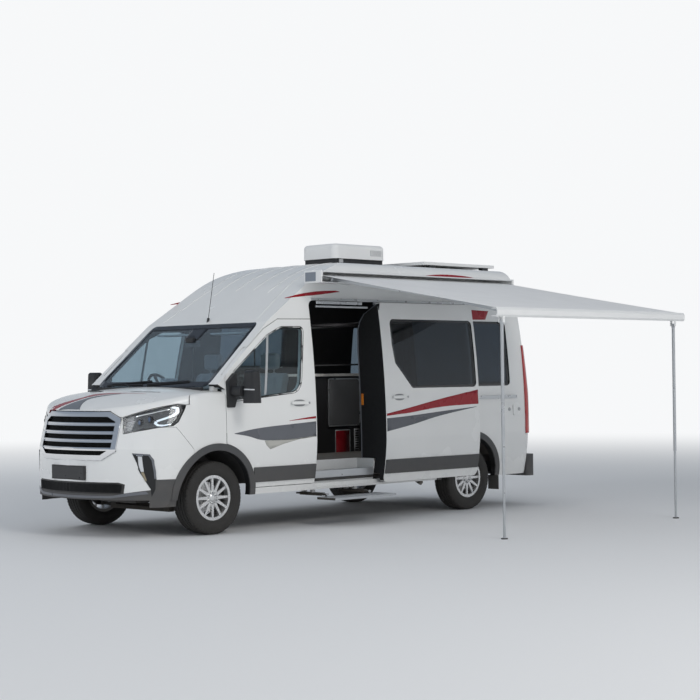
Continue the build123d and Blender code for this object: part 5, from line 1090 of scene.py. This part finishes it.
# The grey-blue plate on each end cap is painted shade: the shaded part of the white cap drawn in a darker
# grey.
painted_end_shade = finish("end_cap_grey", (0.20, 0.23, 0.27), 0.4, "silver", mottle=(12, 0.15), grain=(900, 0.2))
for end, low, high, outer in (("front", 2274, 2291, 2271), ("rear", 5329, 5346, 5346)):
    slab(f"awning_end_cap_{end}", (948, low, 2467), (1200, high, 2596), white_case, soft=7)
    slab(f"awning_end_plate_{end}", (968, outer, 2486), (1120, outer + 3, 2578), painted_end_shade, soft=1.2)
canvas = finish("awning_canvas", (0.78, 0.79, 0.80), 0.82, "awning_cloth", mottle=(3, 0.08), spread=0.05,
                grain=(1500, 0.35), Specular_IOR_Level=0.25)
cloth_start, cloth_end = (1016.3, 2568.6), (3428, 2139.6)
cloth_middle, slack_end, slack_fade = 3810, 1480, 620
span, reach = 52, 44
cloth_points, cloth_faces = [], []
for row in range(span + 1):
    station = 2330 + 2960 * row / span
    middle = min(1, max(0, (slack_end - abs(station - cloth_middle)) / slack_fade))
    hang = 5 + 14 * middle * middle * (3 - 2 * middle)
    for step in range(reach + 1):
        t = step / reach
        ripple = 0.9 * math.sin(station / 61 + 2 * t) * math.sin(math.pi * t)
        across = cloth_start[0] + (cloth_end[0] - cloth_start[0]) * t
        straight = cloth_start[1] + (cloth_end[1] - cloth_start[1]) * t
        height = straight - hang * math.sin(math.pi * t) ** 1.2 + ripple
        cloth_points.append(at(across, station, height))
for row in range(span):
    for step in range(reach):
        first = row * (reach + 1) + step
        cloth_faces.append((first, first + reach + 1, first + reach + 2, first + 1)[::-1])
cloth_mesh = bpy.data.meshes.new("awning_cloth")
cloth_mesh.from_pydata(cloth_points, [], cloth_faces)
for face in cloth_mesh.polygons:
    face.use_smooth = True
awning_cloth = bpy.data.objects.new("awning_cloth", cloth_mesh)
weave = awning_cloth.modifiers.new("weave", "SOLIDIFY")
weave.thickness = 0.0008
settle(awning_cloth, canvas)
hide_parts("awning_fabric")
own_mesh(awning_cloth)

# Cab: a soft grained dashboard with an instrument hood and a display, visors under the header, and
# a mirror with a sensor box behind the screen. Wipers rest along the foot of the windscreen.

dash_dark = finish("dash_plastic", (0.022, 0.023, 0.025), 0.62, "dash_plastic", mottle=(10, 0.3),
                   grain=(1100, 0.4))
dress("dashboard", dash_dark)
wheel_leather = finish("wheel_leather", (0.014, 0.014, 0.015), 0.45, mottle=(30, 0.3), grain=(1300, 0.3))
dress("steering_wheel", wheel_leather)
slab("instrument_hood", (-585, 1240, 1400), (-265, 1372, 1452), dash_dark, soft=18, smooth=True)
slab("display_case", (-118, 1246, 1398), (118, 1284, 1512), pale_trim, soft=7, smooth=True)
slab("display_screen", (-106, 1283, 1410), (106, 1285.5, 1502), gloss_black, soft=0.8)
visor_cloth = finish("visor_cloth", (0.45, 0.46, 0.45), 0.85, "grey_upholstery", mottle=(12, 0.1),
                     grain=(1200, 0.4))
for side, sign in sides:
    low, high = sorted((sign * 175, sign * 690))
    slab(f"visor_{side}", (low, 1668, 1952), (high, 1830, 1972), visor_cloth, soft=8, smooth=True)
screen_hit = skin("windscreen").ray_cast(at(0, -2000, 1862), rays["front"])[0]
screen_back = (screen_hit.y + van_nose) * 1000
slab("rear_view_mirror", (-118, screen_back + 62, 1826), (118, screen_back + 84, 1892), gloss_black, soft=9,
     smooth=True)
slab("sensor_box", (-58, screen_back + 22, 1872), (58, screen_back + 62, 1930), black_plastic, soft=9,
     smooth=True)
for number, blade in enumerate(([(-720, 1442), (-150, 1450), (-150, 1462), (-720, 1458)],
                                [(-60, 1444), (560, 1476), (560, 1488), (-60, 1460)])):
    laid_on(f"wiper_blade_{number}", "windscreen", "front", [blade], 13, black_rubber, step=40, thick=11,
            soft=2)
laid_on("wiper_arms", "windscreen", "front", [[(-330, 1436), (-300, 1436), (-420, 1464), (-440, 1462)]], 22,
        black_plastic, step=30, thick=8, soft=2)

# Seats and bed: foam cushions in a woven grey cover, blown up tight in their covers, with a sewn
# seam between each cushion's middle and its bolsters.

upholstery = finish("grey_upholstery", (0.34, 0.355, 0.37), 0.86, "grey_upholstery", mottle=(9, 0.12),
                    grain=(1300, 0.5), Sheen_Weight=0.25)


drawn_in, seam_reach, seam_depth = 0.007, 0.012, 0.006


def stuffed(name, source, chosen, voxel, cap, seams, firm=0.0):
    """A cushion filled from a CAD solid: remeshed, blown up as cloth, capped, subdivided and seamed."""
    body = bmesh.new()
    body.from_mesh(nodes[source].data)
    bmesh.ops.delete(body, geom=[face for face in body.faces if not chosen(face.calc_center_median())],
                     context="FACES")
    piece = from_bmesh(name, body)
    bpy.context.collection.objects.link(piece)
    blocks = piece.modifiers.new("blocks", "REMESH")
    blocks.mode = "VOXEL"
    blocks.voxel_size = voxel
    piece.data = baked(piece)
    rest = [vertex.co.copy() for vertex in piece.data.vertices]
    drawn = [point - vertex.normal * drawn_in for point, vertex in zip(rest, piece.data.vertices)]
    for vertex, point in zip(piece.data.vertices, drawn):
        vertex.co = point
    air = piece.modifiers.new("air", "CLOTH")
    air.settings.use_pressure = True
    air.settings.uniform_pressure_force = 4
    air.settings.effector_weights.gravity = 0
    air.point_cache.frame_start = 1
    air.point_cache.frame_end = 20
    for frame_number in range(1, 21):
        bpy.context.scene.frame_set(frame_number)
    blown = baked(piece)
    for vertex, swollen, point in zip(piece.data.vertices, blown.vertices, drawn):
        move = swollen.co - point
        limit = cap if point.z > firm else 0.001
        vertex.co = point + move.normalized() * min(move.length, limit)
    bpy.context.scene.frame_set(1)
    finer = piece.modifiers.new("finer", "SUBSURF")
    finer.levels = finer.render_levels = 1
    piece.data = baked(piece)
    normals = [vertex.normal.copy() for vertex in piece.data.vertices]
    for vertex, normal in zip(piece.data.vertices, normals):
        near = min((abs(seam(vertex.co)) for seam in seams), default=1)
        if near < seam_reach and vertex.co.z > firm:
            vertex.co -= normal * seam_depth * (1 - (near / seam_reach) ** 2)
    for face in piece.data.polygons:
        face.use_smooth = True
    return piece


seat_middle, seat_seam, bed_seam = 0.425, 0.16, 0.28
for side, sign in sides:
    seam_lines = [sign * seat_middle - van_middle + shift for shift in (seat_seam, -seat_seam)]
    seat = stuffed(f"{side}_cab_seat", "cab_seats",
                   lambda centre, sign=sign: sign * (centre.x + van_middle) > 0, 0.016, 0.008,
                   [lambda point, line=line: point.x - line for line in seam_lines], firm=0.80)
    settle(seat, upholstery)
    if sign > 0:
        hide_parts("cab_seats")
bed = stuffed("bed_cushion", "lounge", lambda centre: True, 0.018, 0.010,
              [lambda point: point.x + van_middle - bed_seam, lambda point: point.x + van_middle + bed_seam])
settle(bed, upholstery)
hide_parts("lounge")

# Living space: a vinyl floor with a pale step well, a dark galley with a light worktop, and a
# refrigerator with a silver-edged door over a blank red panel and a slotted vent.

floor_vinyl = finish("floor_vinyl", (0.16, 0.155, 0.15), 0.5, mottle=(7, 0.2), grain=(700, 0.2))
under_paint = finish("under_paint", (0.018, 0.018, 0.019), 0.6, mottle=(7, 0.4), spread=0.1, grain=(400, 0.3),
                     dust=(0.5, 1.2))
well_white = finish("well_white", (0.62, 0.63, 0.63), 0.4, mottle=(9, 0.1), grain=(600, 0.15))
furniture = finish("furniture", (0.030, 0.030, 0.032), 0.35, mottle=(6, 0.25), grain=(500, 0.1))
worktop = finish("worktop", (0.50, 0.50, 0.49), 0.3, mottle=(30, 0.12), grain=(900, 0.05))
fridge_grey = finish("fridge_grey", (0.13, 0.134, 0.14), 0.34, "black_appliance", mottle=(8, 0.15))


def in_well(centre, normal):
    """Faces of the step well in the side doorway."""
    behind = centre.y + van_nose
    return 0.34 < centre.z < 0.645 and centre.x + van_middle > 0.5 and 2.35 < behind < 3.3 and normal.z > -0.5


dress("floor_pan", under_paint, (floor_vinyl, lambda centre, normal: normal.z > 0.5 and centre.z > 0.6),
      (well_white, in_well))
dress("galley", furniture, (worktop, lambda centre, normal: 1.514 < centre.z < 1.6))
dress("fridge", furniture)
fridge_ring = rounded([(3878, 938), (4392, 938), (4392, 1490), (3878, 1490)], [20, 50, 50, 20])
kitchen = ("galley", "fridge")
red_rim = [rounded(oblong(3990, 628, 4234, 898), 10, 3), rounded(oblong(4000, 638, 4224, 888), 8, 3)]
for name, rings, lift, look, step, thick, soft in (
        ("fridge_door", [fridge_ring], 3, fridge_grey, 120, 3, 1),
        ("fridge_rim", [fridge_ring, inset(fridge_ring, 13)], 5, silver_trim, 60, 3, 1),
        ("red_panel", [rounded(oblong(3998, 636, 4226, 890), 8, 3)], 3, red_film, 120, 2, 0),
        ("red_panel_rim", red_rim, 4, pale_trim, 120, 3, 0),
        ("vent_strip", [oblong(4300, 636, 4388, 905)], 2, pale_trim, 120, 2, 0)):
    laid_on(name, kitchen, "left", rings, lift, look, step, thick, soft)
for number in range(9):
    low = 648 + number * 28
    laid_on(f"vent_slot_{number}", kitchen, "left", [oblong(4316, low, 4372, low + 14)], 2.6, intake_black,
            step=120, thick=0.5)
for number, station in enumerate((4440, 4482, 4524)):
    laid_on(f"end_post_{number}", kitchen, "left", [oblong(station, 642, station + 34, 1510)], 6, silver_trim,
            step=200, thick=6, soft=2)

# Entry step and underbody: an anodised step tread on a steel frame, a plain engine block, a steel
# exhaust, a moulded fuel tank, forged knuckles and painted axles under the floor.

dress("entry_step", under_paint, (silver_coat, lambda centre, normal: normal.z > 0.5 or normal.x > 0.5))
for number in range(7):
    across = 1150 + number * 27
    slab(f"step_rib_{number}", (across, 2330, 289.5), (across + 9, 3170, 291.8), silver_trim, body="step",
         soft=0.6)
cast_metal = finish("cast_metal", (0.14, 0.14, 0.142), 0.55, mottle=(18, 0.35), spread=0.1, grain=(500, 0.5),
                    dust=(0.4, 1.2), Metallic=0.7)
exhaust_steel = finish("exhaust_steel", (0.30, 0.28, 0.255), 0.38, mottle=(8, 0.4), spread=0.12,
                       grain=(300, 0.15), dust=(0.5, 0.9), Metallic=0.85)
tank_plastic = finish("tank_plastic", (0.022, 0.022, 0.024), 0.55, mottle=(9, 0.3), grain=(700, 0.3),
                      dust=(0.5, 0.9))
for name, metal in (
        ("engine", cast_metal), ("exhaust", exhaust_steel), ("fuel_tank", tank_plastic),
        ("front_suspension", under_paint), ("rear_axle", under_paint), ("left_knuckle", cast_metal),
        ("right_knuckle", cast_metal)):
    dress(name, metal)
